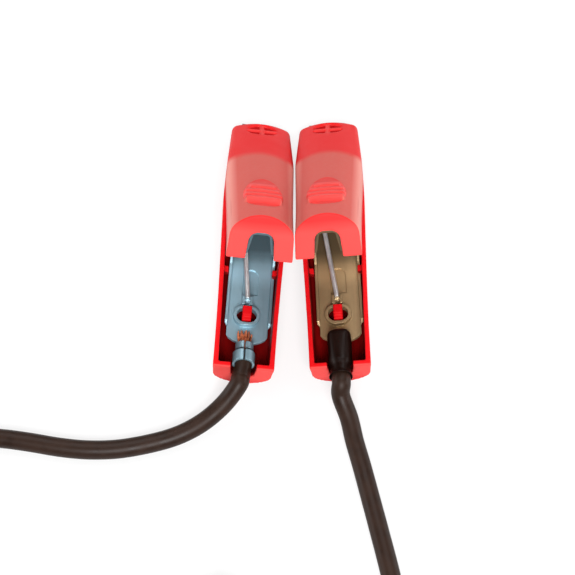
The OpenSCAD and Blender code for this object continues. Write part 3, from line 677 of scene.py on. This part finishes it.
def red_moulding():
    """Satin red in zones, with light and shade painted into the colour: a pale painted sheen on
    the handles' matt crowns and a painted highlight along their sides, painted light on the pad,
    the end wall and the plus, and painted shade in the dark hollow and the plus's recess."""
    tones = finishes()
    red, nose_red, lit_end_red = tones.shell_red, tones.nose_red, tones.lit_end_red
    paint = Painter("red_moulding", red, 0.5)
    paint.shader.inputs["Specular IOR Level"].default_value = 0.06
    mottle = paint.noise(90, 4, 0.6)
    at = red_measures(paint)
    zone = red_zones(paint, at, mottle)

    base = paint.blend(paint.fade(mottle, (0.35, 0.7)), toned(red, 0.96), toned(red, 1.04))
    # a slightly lighter copy of the red, painted on the noses for the light that falls there
    base = paint.blend(zone.nose, base, nose_red)
    # painted light: the end wall gets the lighter red where it faces the key lamp, fading towards
    # the nose red at its top
    wall = paint.blend(paint.levels(at.up_wall, *SPAN["wall_top"], 0, 0.8), lit_end_red, nose_red)
    base = paint.blend(zone.end_wall, base, wall)
    # painted light on the thumb pad's ribs
    base = paint.blend(zone.pad, base, lit_end_red)
    # a fainter painted sheen on the front crescent of the pad's scoop
    faint_painted_sheen = [0.75 * a + 0.25 * b for a, b in zip(nose_red, tones.crown_painted_sheen)]
    base = paint.blend(zone.crescent, base, faint_painted_sheen)
    # painted shade on the floor of the plus's recess
    base = paint.blend(zone.mark_floor, base, toned(red, 0.7))
    # painted light on the bars of the plus
    base = paint.blend(paint.times(zone.mark_bars, 0.45), base, lit_end_red)
    # painted sheen on the handles' crowns, flecked by fine noise
    speck = paint.levels(paint.noise(700, 3, 0.7), 0.3, 0.7, 0.84, 1.0)
    base = paint.blend(paint.times(zone.painted_sheen, speck), base, tones.crown_painted_sheen)
    # painted highlight along the sides of the handles
    base = paint.blend(zone.edge, base, tones.edge_painted_highlight)
    # painted shade in the hollow inside the shell
    paint.use("Base Color", paint.blend(zone.hollow, base, tones.shaded_hollow_red))
    rough = paint.add(zone.painted_sheen, mottle)
    paint.use("Roughness", paint.levels(rough, 0.3, 1.5, 0.42, 0.65))
    paint.use("Normal", paint.bump(paint.noise(2600, 2, 0.6), 0.12, 0.0002))
    return paint.material


def plated_steel(name, colour, dark, metallic=0.55, streak_axis=(500, 30, 30), front=None):
    """Plating with a milky layer over the metal, faint drawn streaks and bright specks. Ahead of
    front, in metres along Y, and high up it is painted darker as shade, and a band behind front is
    painted lighter as a highlight."""
    paint = Painter(name, colour, 0.36, metallic)
    add, less, times = paint.add, paint.less, paint.times
    streaks = paint.noise(1, 3, 0.6, paint.stretched(streak_axis))
    cloud = paint.noise(70, 4, 0.6)
    specks = paint.noise(1500, 2, 0.7)
    shade = add(times(streaks, 0.35), times(cloud, 0.65))
    tint = paint.ramp(shade, [(0.3, dark), (0.62, colour)])
    if front is not None:
        spot = paint.node("ShaderNodeSeparateXYZ")
        paint.link(paint.place, spot.inputs[0])
        along, height = add(spot.outputs[1], times(less(cloud, 0.5), 0.006)), spot.outputs[2]
        # painted highlight: a lighter band behind front
        band = times(paint.fade(along, (front - 0.014, front - 0.008)),
                     paint.fade(along, (front - 0.001, front - 0.006)))
        tint = paint.blend(times(band, 0.55), tint, toned(colour, 1.7))
        # painted shade ahead of front and above 45 mm, under the upper shells
        painted_shade = paint.maths("MAXIMUM", paint.fade(along, (front - 0.003, front + 0.003)),
                           paint.fade(height, (0.045, 0.05)))
        tint = paint.blend(painted_shade, tint, toned(colour, 0.35))
    paint.use("Base Color", tint)
    paint.use("Roughness", paint.levels(specks, 0.3, 0.7, 0.3, 0.46))
    drawn = paint.bump(streaks, 0.05, 0.0001, paint.round_edges(0.0004))
    paint.use("Normal", paint.bump(specks, 0.08, 0.0001, drawn))
    return paint.material


def black_rubber(name, colour, low, high):
    """Black jacket with faint waves; its roughness goes from low to high."""
    paint = Painter(name, colour, low)
    paint.shader.inputs["Specular IOR Level"].default_value = 0.16
    waves = paint.noise(160, 3, 0.5)
    fine = paint.noise(1800, 2, 0.6)
    patches = paint.fade(waves, (0.35, 0.65))
    paint.use("Base Color", paint.blend(patches, colour, toned(colour, 1.5)))
    paint.use("Roughness", paint.levels(waves, 0.3, 0.7, low, high))
    paint.use("Normal", paint.bump(fine, 0.1, 0.0001, paint.bump(waves, 0.25, 0.0004)))
    return paint.material


def bare_copper():
    """Copper in lighter and duller patches."""
    colour = finishes().copper
    paint = Painter("bare_copper", colour, 0.32, 0.6)
    cloud = paint.noise(900, 3, 0.6)
    patches = paint.fade(cloud, (0.35, 0.65))
    paint.use("Base Color", paint.blend(patches, toned(colour, 0.75), colour))
    paint.use("Roughness", paint.levels(cloud, 0.3, 0.7, 0.22, 0.4))
    return paint.material


# ---- Sweeps --------------------------------------------------------------------------
def catmull(points, per=6):
    """A smooth line through the points, with per steps to each of their gaps."""
    p = [Vector(q) for q in points]
    p = [2 * p[0] - p[1]] + p + [2 * p[-1] - p[-2]]
    out = []
    for i in range(1, len(p) - 2):
        for k in range(per):
            t = k / per
            out.append(0.5 * ((2 * p[i]) + (p[i + 1] - p[i - 1]) * t
                              + (2 * p[i - 1] - 5 * p[i] + 4 * p[i + 1] - p[i + 2]) * t ** 2
                              + (3 * p[i] - p[i - 1] - 3 * p[i + 1] + p[i + 2]) * t ** 3))
    return out + [p[-2]]


def tube_mesh(name, path, radii, sides):
    """A round tube along path, with its frame carried without twist."""
    last = len(path) - 1
    heads = [(path[min(i + 1, last)] - path[max(i - 1, 0)]).normalized() for i in range(last + 1)]
    side = heads[0].cross(Vector((0, 0, 1))).normalized()
    rings = []
    for i, (point, head) in enumerate(zip(path, heads)):
        side = (side - head * side.dot(head)).normalized()
        up = head.cross(side)
        r = radii[i] if hasattr(radii, "__len__") else radii
        rings.append([point + (side * math.cos(a) + up * math.sin(a)) * r
                      for a in (2 * math.pi * k / sides for k in range(sides))])
    return smooth(outward(mesh_of(name, *loft(rings))))


def wire_nodes():
    """Geometry nodes that give a drawn line a round section and a material."""
    tree = bpy.data.node_groups.new("round_wire", "GeometryNodeTree")
    face = tree.interface
    face.new_socket("Geometry", in_out="INPUT", socket_type="NodeSocketGeometry")
    radius = face.new_socket("Wire radius", in_out="INPUT", socket_type="NodeSocketFloat")
    radius.default_value = 0.001
    count = face.new_socket("Sides", in_out="INPUT", socket_type="NodeSocketInt")
    count.default_value = 12
    face.new_socket("Finish", in_out="INPUT", socket_type="NodeSocketMaterial")
    face.new_socket("Geometry", in_out="OUTPUT", socket_type="NodeSocketGeometry")
    new = tree.nodes.new
    given, result = new("NodeGroupInput"), new("NodeGroupOutput")
    line, ring, sweep, soft, real, paint = (new(f"GeometryNode{kind}") for kind in (
        "MeshToCurve", "CurvePrimitiveCircle", "CurveToMesh", "SetShadeSmooth",
        "RealizeInstances", "SetMaterial"))
    sweep.inputs["Fill Caps"].default_value = True
    for a, output, b, put_in in (
            (given, "Geometry", line, "Mesh"), (given, "Wire radius", ring, "Radius"),
            (given, "Sides", ring, "Resolution"), (line, "Curve", sweep, "Curve"),
            (ring, "Curve", sweep, "Profile Curve"), (sweep, "Mesh", soft, "Geometry"),
            (soft, "Geometry", real, "Geometry"), (real, "Geometry", paint, "Geometry"),
            (given, "Finish", paint, "Material"), (paint, "Geometry", result, "Geometry")):
        tree.links.new(a.outputs[output], b.inputs[put_in])
    return tree


def wires(name, lines, radius, sides, material):
    """One mesh of round wires along the lines."""
    verts, edges = [], []
    for line in lines:
        edges += [(len(verts) + i, len(verts) + i + 1) for i in range(len(line) - 1)]
        verts += [tuple(p) for p in line]
    mesh = bpy.data.meshes.new(name)
    mesh.from_pydata(verts, edges, [])
    obj = object_of(name, mesh)
    tree = bpy.data.node_groups.get("round_wire") or wire_nodes()
    mod = obj.modifiers.new("wire", "NODES")
    mod.node_group = tree
    named = {s.name: s.identifier for s in tree.interface.items_tree if s.in_out == "INPUT"}
    mod[named["Wire radius"]] = radius
    mod[named["Sides"]] = sides
    mod[named["Finish"]] = material
    obj.data = baked(obj)
    return obj


# ---- The lead's route, in millimetres, as in the part's source -----------------------
LEAD_R, CRIMPED_R, TUBE_SIDES = 3.55, 3.27, 20
COIL_SWEEP, COIL_PITCH, COIL_MIN_R = 2260, 8.2, 30.3
COIL_CENTRE, COIL_START, COIL_LIFT = (-24.0, -195.0), 240, 0.6
EXIT_RUN, COIL_RUN = 3, 4      # straight lengths at the clamps and at the coil
LEFT_ROUTE = [
    (-25, -68.5, 8.2), (-32.5, -74.5, 5.6), (-41, -79, 4.2), (-50.5, -82, LEAD_R),
    (-63, -84.5, LEAD_R), (-74.5, -85, LEAD_R), (-85.5, -84, LEAD_R), (-97, -82, LEAD_R),
    (-108, -80.5, LEAD_R), (-120, -80, LEAD_R), (-131.5, -83.5, LEAD_R), (-140.5, -92, LEAD_R),
    (-145.5, -104, LEAD_R), (-146, -119.5, LEAD_R), (-143, -141.5, LEAD_R), (-135, -165.5, LEAD_R),
    (-121, -189.5, LEAD_R), (-103, -210.5, LEAD_R), (-81.5, -227.5, LEAD_R + 0.3)]
RIGHT_ROUTE = [
    (18.5, -66, 10), (21.5, -73.5, 6.6), (23.5, -82, 4.4), (26, -91.5, LEAD_R),
    (29, -104.5, LEAD_R), (31.5, -115.5, LEAD_R), (35, -131.5, LEAD_R), (38, -149.5, 4.6),
    (39, -167.5, 6.4), (37.5, -185.5, 9.4)]


def tongue_point(y, z):
    """A place on the middle line of the tongue, in the half's own frame."""
    return on_tongue() @ Vector((0, y, z))


def lower_world(side, p):
    """A place of the lower half, in the row frame in metres."""
    return clamp_matrix(side, lower=True) @ p


def coil_point(a):
    """The coil's centre line at angle a: inwards, up a layer and outwards again, in metres."""
    middle = COIL_SWEEP / 2
    r = COIL_MIN_R + COIL_PITCH * abs(a - middle) / 360
    k = min(1, max(0, (a - middle + 90) / 180))
    turn_at = math.radians(COIL_START + a)
    return Vector((COIL_CENTRE[0] + r * math.cos(turn_at), COIL_CENTRE[1] + r * math.sin(turn_at),
                   LEAD_R + COIL_LIFT + COIL_PITCH * k * k * (3 - 2 * k))) * MM


KINK = tongue_point(-13, -JACKET_IN)
LEFT_EXIT = Vector((0.7, -75.6, 32.1))
RIGHT_EXIT = tongue_point(-18, -JACKET_IN)


def lead_path():
    """The lead's centre line from the left clamp through the coil to the right, in metres."""
    def run(side, leaves_at, route, coil_end, towards):
        start = lower_world(side, leaves_at)
        leaves = (start - lower_world(side, KINK)).normalized()
        return ([start, start + EXIT_RUN * MM * leaves] + [Vector(p) * MM for p in route]
                + [coil_end + COIL_RUN * MM * towards, coil_end])

    into = (coil_point(2) - coil_point(0)).normalized()
    out = (coil_point(COIL_SWEEP) - coil_point(COIL_SWEEP - 2)).normalized()
    coil_in = coil_point(0) - 2 * LEAD_R * MM * into
    coil_out = coil_point(COIL_SWEEP) + 2 * LEAD_R * MM * out
    left = catmull(run("left", LEFT_EXIT, LEFT_ROUTE, coil_in, -into), 6)
    right = catmull(run("right", RIGHT_EXIT, RIGHT_ROUTE, coil_out, out), 6)
    turns = [coil_point(a) for a in range(0, COIL_SWEEP + 1, 5)]
    return left[:-1] + [coil_in] + turns + [coil_out] + right[::-1][1:]


def path_length(path):
    return sum((b - a).length for a, b in zip(path, path[1:]))


# ---- Springs, strands and shrunk sleeve, in millimetres ------------------------------
def spring_line():
    """The spring's centre line in the upper half's frame: leg, coil and leg."""
    leg_z = web_z(LEG_Y) - (SPRING_WIRE_R + LEG_GAP) / math.cos(math.radians(WEB_ANGLE))
    lean = math.degrees(math.acos(SPRING_R / math.hypot(LEG_Y, leg_z)) + math.atan2(leg_z, LEG_Y))
    wrap = 360 * SPRING_TURNS + 2 * (lean if lean < 180 else 360 - lean)
    half = SPRING_PITCH * (SPRING_TURNS + 0.36) / 2
    coil = []
    for a in np.linspace(0, wrap, 48 * SPRING_TURNS + 24):
        at = math.radians(a - wrap / 2)
        coil.append(Vector((half * (2 * a / wrap - 1), SPRING_R * math.cos(at),
                            SPRING_R * math.sin(at))))
    lower_end, upper_end = Vector((-LEG_X, LEG_Y, -leg_z)), Vector((LEG_X, LEG_Y, leg_z))
    steps = np.linspace(0, 1, 24)
    return ([lower_end.lerp(coil[0], t) for t in steps[:-1]] + coil
            + [coil[-1].lerp(upper_end, t) for t in steps[1:]])


def strand_line(rng):
    """One strand on the tongue: out of the crimp, over a knee and into its tuft."""
    a, r = rng.uniform(0, 2 * math.pi), (CORE_IN - 0.35) * math.sqrt(rng.random())
    x, z = r * math.cos(a), -CORE_IN + r * math.sin(a)
    tuft = round(x / TUFT_PITCH)
    tip = Vector((tuft * TUFT_SPREAD + rng.uniform(-0.3, 0.3) + x * 0.2,
                  rng.uniform(1.6, 3.7) - 0.18 * abs(x),
                  -1.5 + 0.35 * (z + CORE_IN) - rng.uniform(0, 1.3)))
    root, mouth = Vector((x, -6.6, z)), Vector((x, -2.6, z))
    stray = Vector((rng.uniform(-0.3, 0.3), 0, rng.uniform(-0.2, 0.3)))
    knee = mouth.lerp(tip, 0.45) + stray
    knee.z, tip.z = min(knee.z, -0.75), min(tip.z, -0.95)
    return catmull([root, mouth, knee, tip], 4)


def left_end_tube():
    """The jacket's left end: its centre line, from its crimp to the lead, and its radii."""
    beyond = LEFT_EXIT + (LEFT_EXIT - KINK).normalized() * 0.8
    points = [tongue_point(-7.1, -JACKET_IN), tongue_point(-10, -JACKET_IN),
              KINK, KINK.lerp(LEFT_EXIT, 0.5), LEFT_EXIT, beyond]
    path = [lower_world("left", p) for p in catmull(points, 6)]
    n = len(path)
    free = [min(1, max(0, (i / n - 0.4) / 0.3)) for i in range(n)]
    return path, [(CRIMPED_R + (LEAD_R - CRIMPED_R) * share) * MM for share in free]


SLEEVE_FRONT, SLEEVE_REAR, SLEEVE_R, SLEEVE_BORE, MOUTH_R = 1.5, -18.1, 4.46, 3.62, 4.3
SHOULDER_Y, SHOULDER_REACH, SHOULDER_DROP = -0.9, 2.4, 1.5
NECK_Y, NECK_REACH, NECK_DROP = -11.8, 2.2, 0.6
LIP_Y, LIP_REACH, LIP_RISE = -16.4, 1.7, 0.6


def sleeve_size(y):
    """The sleeve's outer radius at y, and how square its section is there."""
    square = max(0, 1 - (SLEEVE_FRONT - y) / (SLEEVE_FRONT - SLEEVE_REAR) * 1.5)
    k = min(1, max(0, (NECK_Y - y) / NECK_REACH))
    radius = SLEEVE_R + 0.14 * square - NECK_DROP * k * k * (3 - 2 * k)
    if y < LIP_Y:
        radius += LIP_RISE * ((LIP_Y - y) / LIP_REACH) ** 2
    if y > SHOULDER_Y:
        radius -= SHOULDER_DROP * ((y - SHOULDER_Y) / SHOULDER_REACH) ** 2
    return radius, square


def sleeve_ring(y, radius, square, folds):
    """A ring of the sleeve, round or nearly square, with its folds' waves."""
    middle, ring = -JACKET_IN + 0.35 * square, []
    power = 2 / (2 + 1.6 * square)
    for k in range(48):
        a = 2 * math.pi * k / 48
        wave = sum(depth * math.sin(n * a + phase + 0.35 * y) for phase, n, depth in folds)
        x = math.copysign(abs(math.cos(a)) ** power, math.cos(a))
        z = math.copysign(abs(math.sin(a)) ** power, math.sin(a))
        r = radius + wave * (0.35 + 0.65 * (1 - square))
        ring.append((x * r, y, middle + z * (r + 0.3 * square)))
    return ring


# ---- Settings ------------------------------------------------------------------------
def length(name, description, default, low, high):
    return bpy.props.FloatProperty(name=name, description=description, default=default,
                                   min=low, max=high, unit="LENGTH", precision=5)


def tone(name, description, default):
    return bpy.props.FloatVectorProperty(name=name, description=description, default=default,
                                         min=0, max=1, subtype="COLOR")


class LinkLeadSizes(bpy.types.PropertyGroup):
    """Sizes that a user would change."""
    crown_edge_radius: length(
        "Crown edge radius", "How far the shell's crown edges are rounded", 0.0019, 0.0005, 0.004)
    shell_grain: length(
        "Shell grain", "Smallest detail that the moulded shells keep", 0.00042, 0.0003, 0.001)
    strand_radius: length("Strand radius", "Radius of one copper strand", 0.0002, 0.0001, 0.0004)
    wire_radius: length(
        "Spring wire radius", "Radius of the springs' wire", 0.00095, 0.0008, 0.001)


class LinkLeadFinishes(bpy.types.PropertyGroup):
    """Colours that a user would change."""
    shell_red: tone("Shell red", "Colour of the grip shells", (0.66, 0.006, 0.009))
    # a slightly lighter copy of the shell red, painted on the noses for how they are lit
    nose_red: tone("Nose red", "Red of the noses, ahead of the bend", (0.66, 0.016, 0.017))
    # a lighter copy of the red, painted where the end walls, ribs and plus bars face the key lamp
    lit_end_red: tone(
        "End wall red", "Brighter red of the end walls and the thumb pads", (0.76, 0.062, 0.056))
    # a darker copy of the red, painted inside the shells as shade
    shaded_hollow_red: tone("Hollow red", "Dark red inside the shells", (0.17, 0.002, 0.002))
    # a paler copy of the red, painted on the handles' crowns as a sheen of reflected light
    crown_painted_sheen: tone(
        "Crown bloom", "Paler colour of the matt crown of each handle", (0.57, 0.118, 0.098))
    # a paler copy of the red, painted along the handles' sides as a highlight from the side lamps
    edge_painted_highlight: tone(
        "Edge bloom", "Palest tone, along the sides of each handle", (0.72, 0.27, 0.23))
    zinc: tone("Zinc", "Colour of the zinc-plated jaws", (0.30, 0.47, 0.55))
    bronze: tone("Bronze", "Colour of the bronze-coloured jaws", (0.42, 0.29, 0.15))
    copper: tone("Copper", "Colour of the bare strands", (0.90, 0.30, 0.13))
    black: tone("Jacket black", "Colour of the lead's jacket", (0.017, 0.008, 0.005))


# ---- The stage, in metres ------------------------------------------------------------
CAMERA_PLACE, CAMERA_DOWN = (-0.0014, -0.2470, 0.4448), 62.49
SENSOR, FOCAL_PIXELS, PICTURE_PIXELS = 36, 1259.5, 575
FLOOR_HALF, FLOOR_DROP, FLOOR_GLOW, SKY = 4, 0.0002, 0.72, 0.22
AIM = (0, 0, 0.03)
LAMPS = (
    # name, energy, size, place
    ("key", 14.0, 0.45, (0.05, -0.75, 0.8)),
    ("back", 6.6, 0.8, (0.0, 0.46, 0.86)),
    ("left", 3.2, 0.5, (-0.8, 0.05, 0.18)),
    ("right", 3.2, 0.5, (0.8, 0.05, 0.18)),
)


# ---- Operators -----------------------------------------------------------------------
class LINKLEAD_OT_stage(bpy.types.Operator):
    """Set up the camera, the lamps and the pale floor"""
    bl_idname = "link_lead.stage"
    bl_label = "Stage"

    def execute(self, context):
        camera = bpy.data.cameras.new("camera")
        camera.sensor_width, camera.lens = SENSOR, SENSOR * FOCAL_PIXELS / PICTURE_PIXELS
        camera.clip_start, camera.clip_end = 0.01, 20
        eye = object_of("camera", camera)
        eye.location = CAMERA_PLACE
        eye.rotation_euler = (math.radians(90 - CAMERA_DOWN), 0, 0)
        context.scene.camera = eye

        square = rectangle(-FLOOR_HALF, FLOOR_HALF, -FLOOR_HALF, FLOOR_HALF)
        corners = [(x, y, 0) for x, y in square]
        floor = object_of("floor", mesh_of("floor", corners, [(0, 1, 2, 3)]))
        floor.data.transform(Matrix.Translation((0, 0, -FLOOR_DROP)))
        paint = Painter("pale_floor", (0.80, 0.80, 0.80), 0.9)
        sight = paint.node("ShaderNodeLightPath").outputs
        seen = paint.maths("MAXIMUM", sight["Is Glossy Ray"], sight["Is Transmission Ray"])
        seen = paint.maths("MAXIMUM", sight["Is Camera Ray"], seen)
        white = paint.node("ShaderNodeEmission")
        mixed = paint.node("ShaderNodeMixShader")
        white.inputs["Strength"].default_value = 1.0
        paint.link(paint.times(seen, FLOOR_GLOW), mixed.inputs["Fac"])
        paint.link(paint.shader.outputs[0], mixed.inputs[1])
        paint.link(white.outputs[0], mixed.inputs[2])
        paint.link(mixed.outputs[0], paint.tree.nodes["Material Output"].inputs["Surface"])
        floor.data.materials.append(paint.material)

        world = bpy.data.worlds.new("studio")
        context.scene.world = world
        world.use_nodes = True
        sky = world.node_tree.nodes["Background"]
        sky.inputs["Color"].default_value = (1, 1, 1, 1)
        sky.inputs["Strength"].default_value = SKY

        for name, energy, size, place in LAMPS:
            lamp = bpy.data.lights.new(name, "AREA")
            lamp.energy, lamp.size = energy, size
            obj = object_of(name, lamp)
            obj.location = place
            obj.rotation_euler = (Vector(AIM) - Vector(place)).to_track_quat("-Z", "Y").to_euler()
        context.scene.view_settings.view_transform = "Standard"
        return {"FINISHED"}


class LINKLEAD_OT_lead(bpy.types.Operator):
    """Lay the lead from clamp to clamp, with its spare length in a coil"""
    bl_idname = "link_lead.lead"
    bl_label = "Lead"

    def execute(self, context):
        path = lead_path()
        lead = object_of("link_lead", tube_mesh("link_lead", path, LEAD_R * MM, TUBE_SIDES))
        lead.data.materials.append(black_rubber("jacket_rubber", finishes().black, 0.34, 0.5))
        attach(lead, LOWER)
        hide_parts("lead_left_run", "lead_coil", "lead_right_run")
        tuple(path[0])
        path_length(path)
        [tuple(p) for p in path]
        return {"FINISHED"}


class LINKLEAD_OT_grip_shells(bpy.types.Operator):
    """Mould the four red grip shells"""
    bl_idname = "link_lead.grip_shells"
    bl_label = "Grip shells"

    def execute(self, context):
        half, red = shell_half(), red_moulding()
        for side in ("left", "right"):
            for level in ("upper", "lower"):
                name = f"{side}_{level}_grip"
                mesh = half.copy()
                mesh.transform(clamp_matrix(side, lower=level == "lower"))
                mesh.materials.clear()
                mesh.materials.append(red)
                grip = object_of(name, mesh)
                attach(grip, UPPER[side] if level == "upper" else LOWER)
                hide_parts(f"{side}_{level}_shell")
        bpy.data.meshes.remove(half)
        return {"FINISHED"}


class LINKLEAD_OT_jaws(bpy.types.Operator):
    """Plate the pressed steel jaws and the rivets"""
    bl_idname = "link_lead.jaws"
    bl_label = "Jaws"

    def execute(self, context):
        tones = finishes()
        zinc = plated_steel("zinc_plate", tones.zinc, toned(tones.zinc, 0.8),
                            front=SHADE_FRONT)
        bronze = plated_steel("bronze_plate", tones.bronze, toned(tones.bronze, 0.7),
                              front=SHADE_FRONT)
        for side, plate in (("left", zinc), ("right", bronze)):
            refinish(f"{side}_upper_jaw", plate)
            refinish(f"{side}_lower_jaw", plate)
            refinish(f"{side}_pivot_rivet", zinc)
        return {"FINISHED"}


class LINKLEAD_OT_springs(bpy.types.Operator):
    """Wind the two torsion springs"""
    bl_idname = "link_lead.springs"
    bl_label = "Springs"

    def execute(self, context):
        steel = plated_steel("spring_steel", (0.80, 0.80, 0.80), (0.42, 0.42, 0.43), 0.7,
                             streak_axis=(240, 240, 24))
        line = spring_line()
        for side in ("left", "right"):
            m = clamp_matrix(side)
            spring = wires(f"{side}_torsion_spring", [[m @ p for p in line]],
                           sizes().wire_radius, 14, steel)
            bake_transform(spring)
            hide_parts(f"{side}_spring")
        return {"FINISHED"}


class LINKLEAD_OT_strands(bpy.types.Operator):
    """Fan the bare copper strands out of the open crimp"""
    bl_idname = "link_lead.strands"
    bl_label = "Copper strands"

    def execute(self, context):
        copper, rng = bare_copper(), random.Random(7)
        place = clamp_matrix("left", lower=True) @ on_tongue()
        lines = [[place @ p for p in strand_line(rng)] for _ in range(STRANDS)]
        fan = wires("left_strand_fan", lines, sizes().strand_radius * 1.25, 6, copper)
        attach(fan, LOWER)
        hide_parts("left_copper_strands")
        refinish("right_copper_strands", copper)
        return {"FINISHED"}


class LINKLEAD_OT_lead_ends(bpy.types.Operator):
    """Fit the lead's two ends into their crimps"""
    bl_idname = "link_lead.lead_ends"
    bl_label = "Lead ends"

    def execute(self, context):
        rubber = bpy.data.materials["jacket_rubber"]
        tube = tube_mesh("left_jacket_end", *left_end_tube(), TUBE_SIDES)
        jacket = object_of("left_jacket_end", tube)
        jacket.data.materials.append(rubber)
        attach(jacket, LOWER)
        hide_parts("left_lead_end")
        refinish("right_lead_end", rubber)
        return {"FINISHED"}


class LINKLEAD_OT_sleeve(bpy.types.Operator):
    """Shrink the black sleeve over the right clamp's crimp"""
    bl_idname = "link_lead.sleeve"
    bl_label = "Shrink sleeve"

    def execute(self, context):
        rng = random.Random(3)
        folds = [(rng.uniform(0, 2 * math.pi), rng.choice((2, 3, 5, 7)), rng.uniform(0.015, 0.05))
                 for _ in range(6)]
        rings = [sleeve_ring(y, *sleeve_size(y), folds)
                 for y in np.linspace(SLEEVE_FRONT, SLEEVE_REAR, 44)]
        for y, radius in ((-18.05, MOUTH_R), (-17.6, MOUTH_R),
                          (-16.8, SLEEVE_BORE), (-13, SLEEVE_BORE)):
            rings.append(sleeve_ring(y, radius, 0, folds))
        mesh = mesh_of("right_shrunk_sleeve", *loft(rings))
        mesh.transform(clamp_matrix("right", lower=True) @ on_tongue())
        sleeve = object_of("right_shrunk_sleeve", smooth(outward(mesh)))
        rubber = black_rubber("shrunk_sleeve", (0.007, 0.0025, 0.0015), 0.3, 0.5)
        sleeve.data.materials.append(rubber)
        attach(sleeve, LOWER)
        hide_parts("right_shrink_sleeve")
        return {"FINISHED"}


class LINKLEAD_OT_tie(bpy.types.Operator):
    """Finish the band round the stored coil"""
    bl_idname = "link_lead.tie"
    bl_label = "Coil tie"

    def execute(self, context):
        paint = Painter("tie_band", (0.03, 0.03, 0.034), 0.7)
        weave = paint.noise(1400, 2, 0.6)
        paint.use("Normal", paint.bump(weave, 0.4, 0.0002, paint.round_edges(0.0003)))
        paint.use("Roughness", paint.levels(weave, 0.3, 0.7, 0.6, 0.85))
        refinish("coil_tie", paint.material)
        return {"FINISHED"}


STEPS = (LINKLEAD_OT_stage, LINKLEAD_OT_lead, LINKLEAD_OT_grip_shells, LINKLEAD_OT_jaws,
         LINKLEAD_OT_springs, LINKLEAD_OT_strands, LINKLEAD_OT_lead_ends, LINKLEAD_OT_sleeve,
         LINKLEAD_OT_tie)


class LINKLEAD_PT_panel(bpy.types.Panel):
    """Lists the steps that dress the clamps and their lead"""
    bl_idname = "LINKLEAD_PT_panel"
    bl_label = "Battery clamps"
    bl_space_type = "VIEW_3D"
    bl_region_type = "UI"
    bl_category = "Clamps"

    def draw(self, context):
        for group in (context.scene.link_lead_sizes, context.scene.link_lead_finishes):
            box = self.layout.box()
            for name in group.bl_rna.properties.keys():
                if name not in ("rna_type", "name"):
                    box.prop(group, name)
        for step in STEPS:
            self.layout.operator(step.bl_idname, text=step.bl_label)


CLASSES = (LinkLeadSizes, LinkLeadFinishes, *STEPS, LINKLEAD_PT_panel)


def register():
    for cls in CLASSES:
        bpy.utils.register_class(cls)
    bpy.types.Scene.link_lead_sizes = bpy.props.PointerProperty(type=LinkLeadSizes)
    bpy.types.Scene.link_lead_finishes = bpy.props.PointerProperty(type=LinkLeadFinishes)


def unregister():
    del bpy.types.Scene.link_lead_finishes
    del bpy.types.Scene.link_lead_sizes
    for cls in reversed(CLASSES):
        bpy.utils.unregister_class(cls)


def main():
    register()
    for step in STEPS:
        group, name = step.bl_idname.split(".")
        getattr(getattr(bpy.ops, group), name)()


if __name__ == "__main__":
    main()
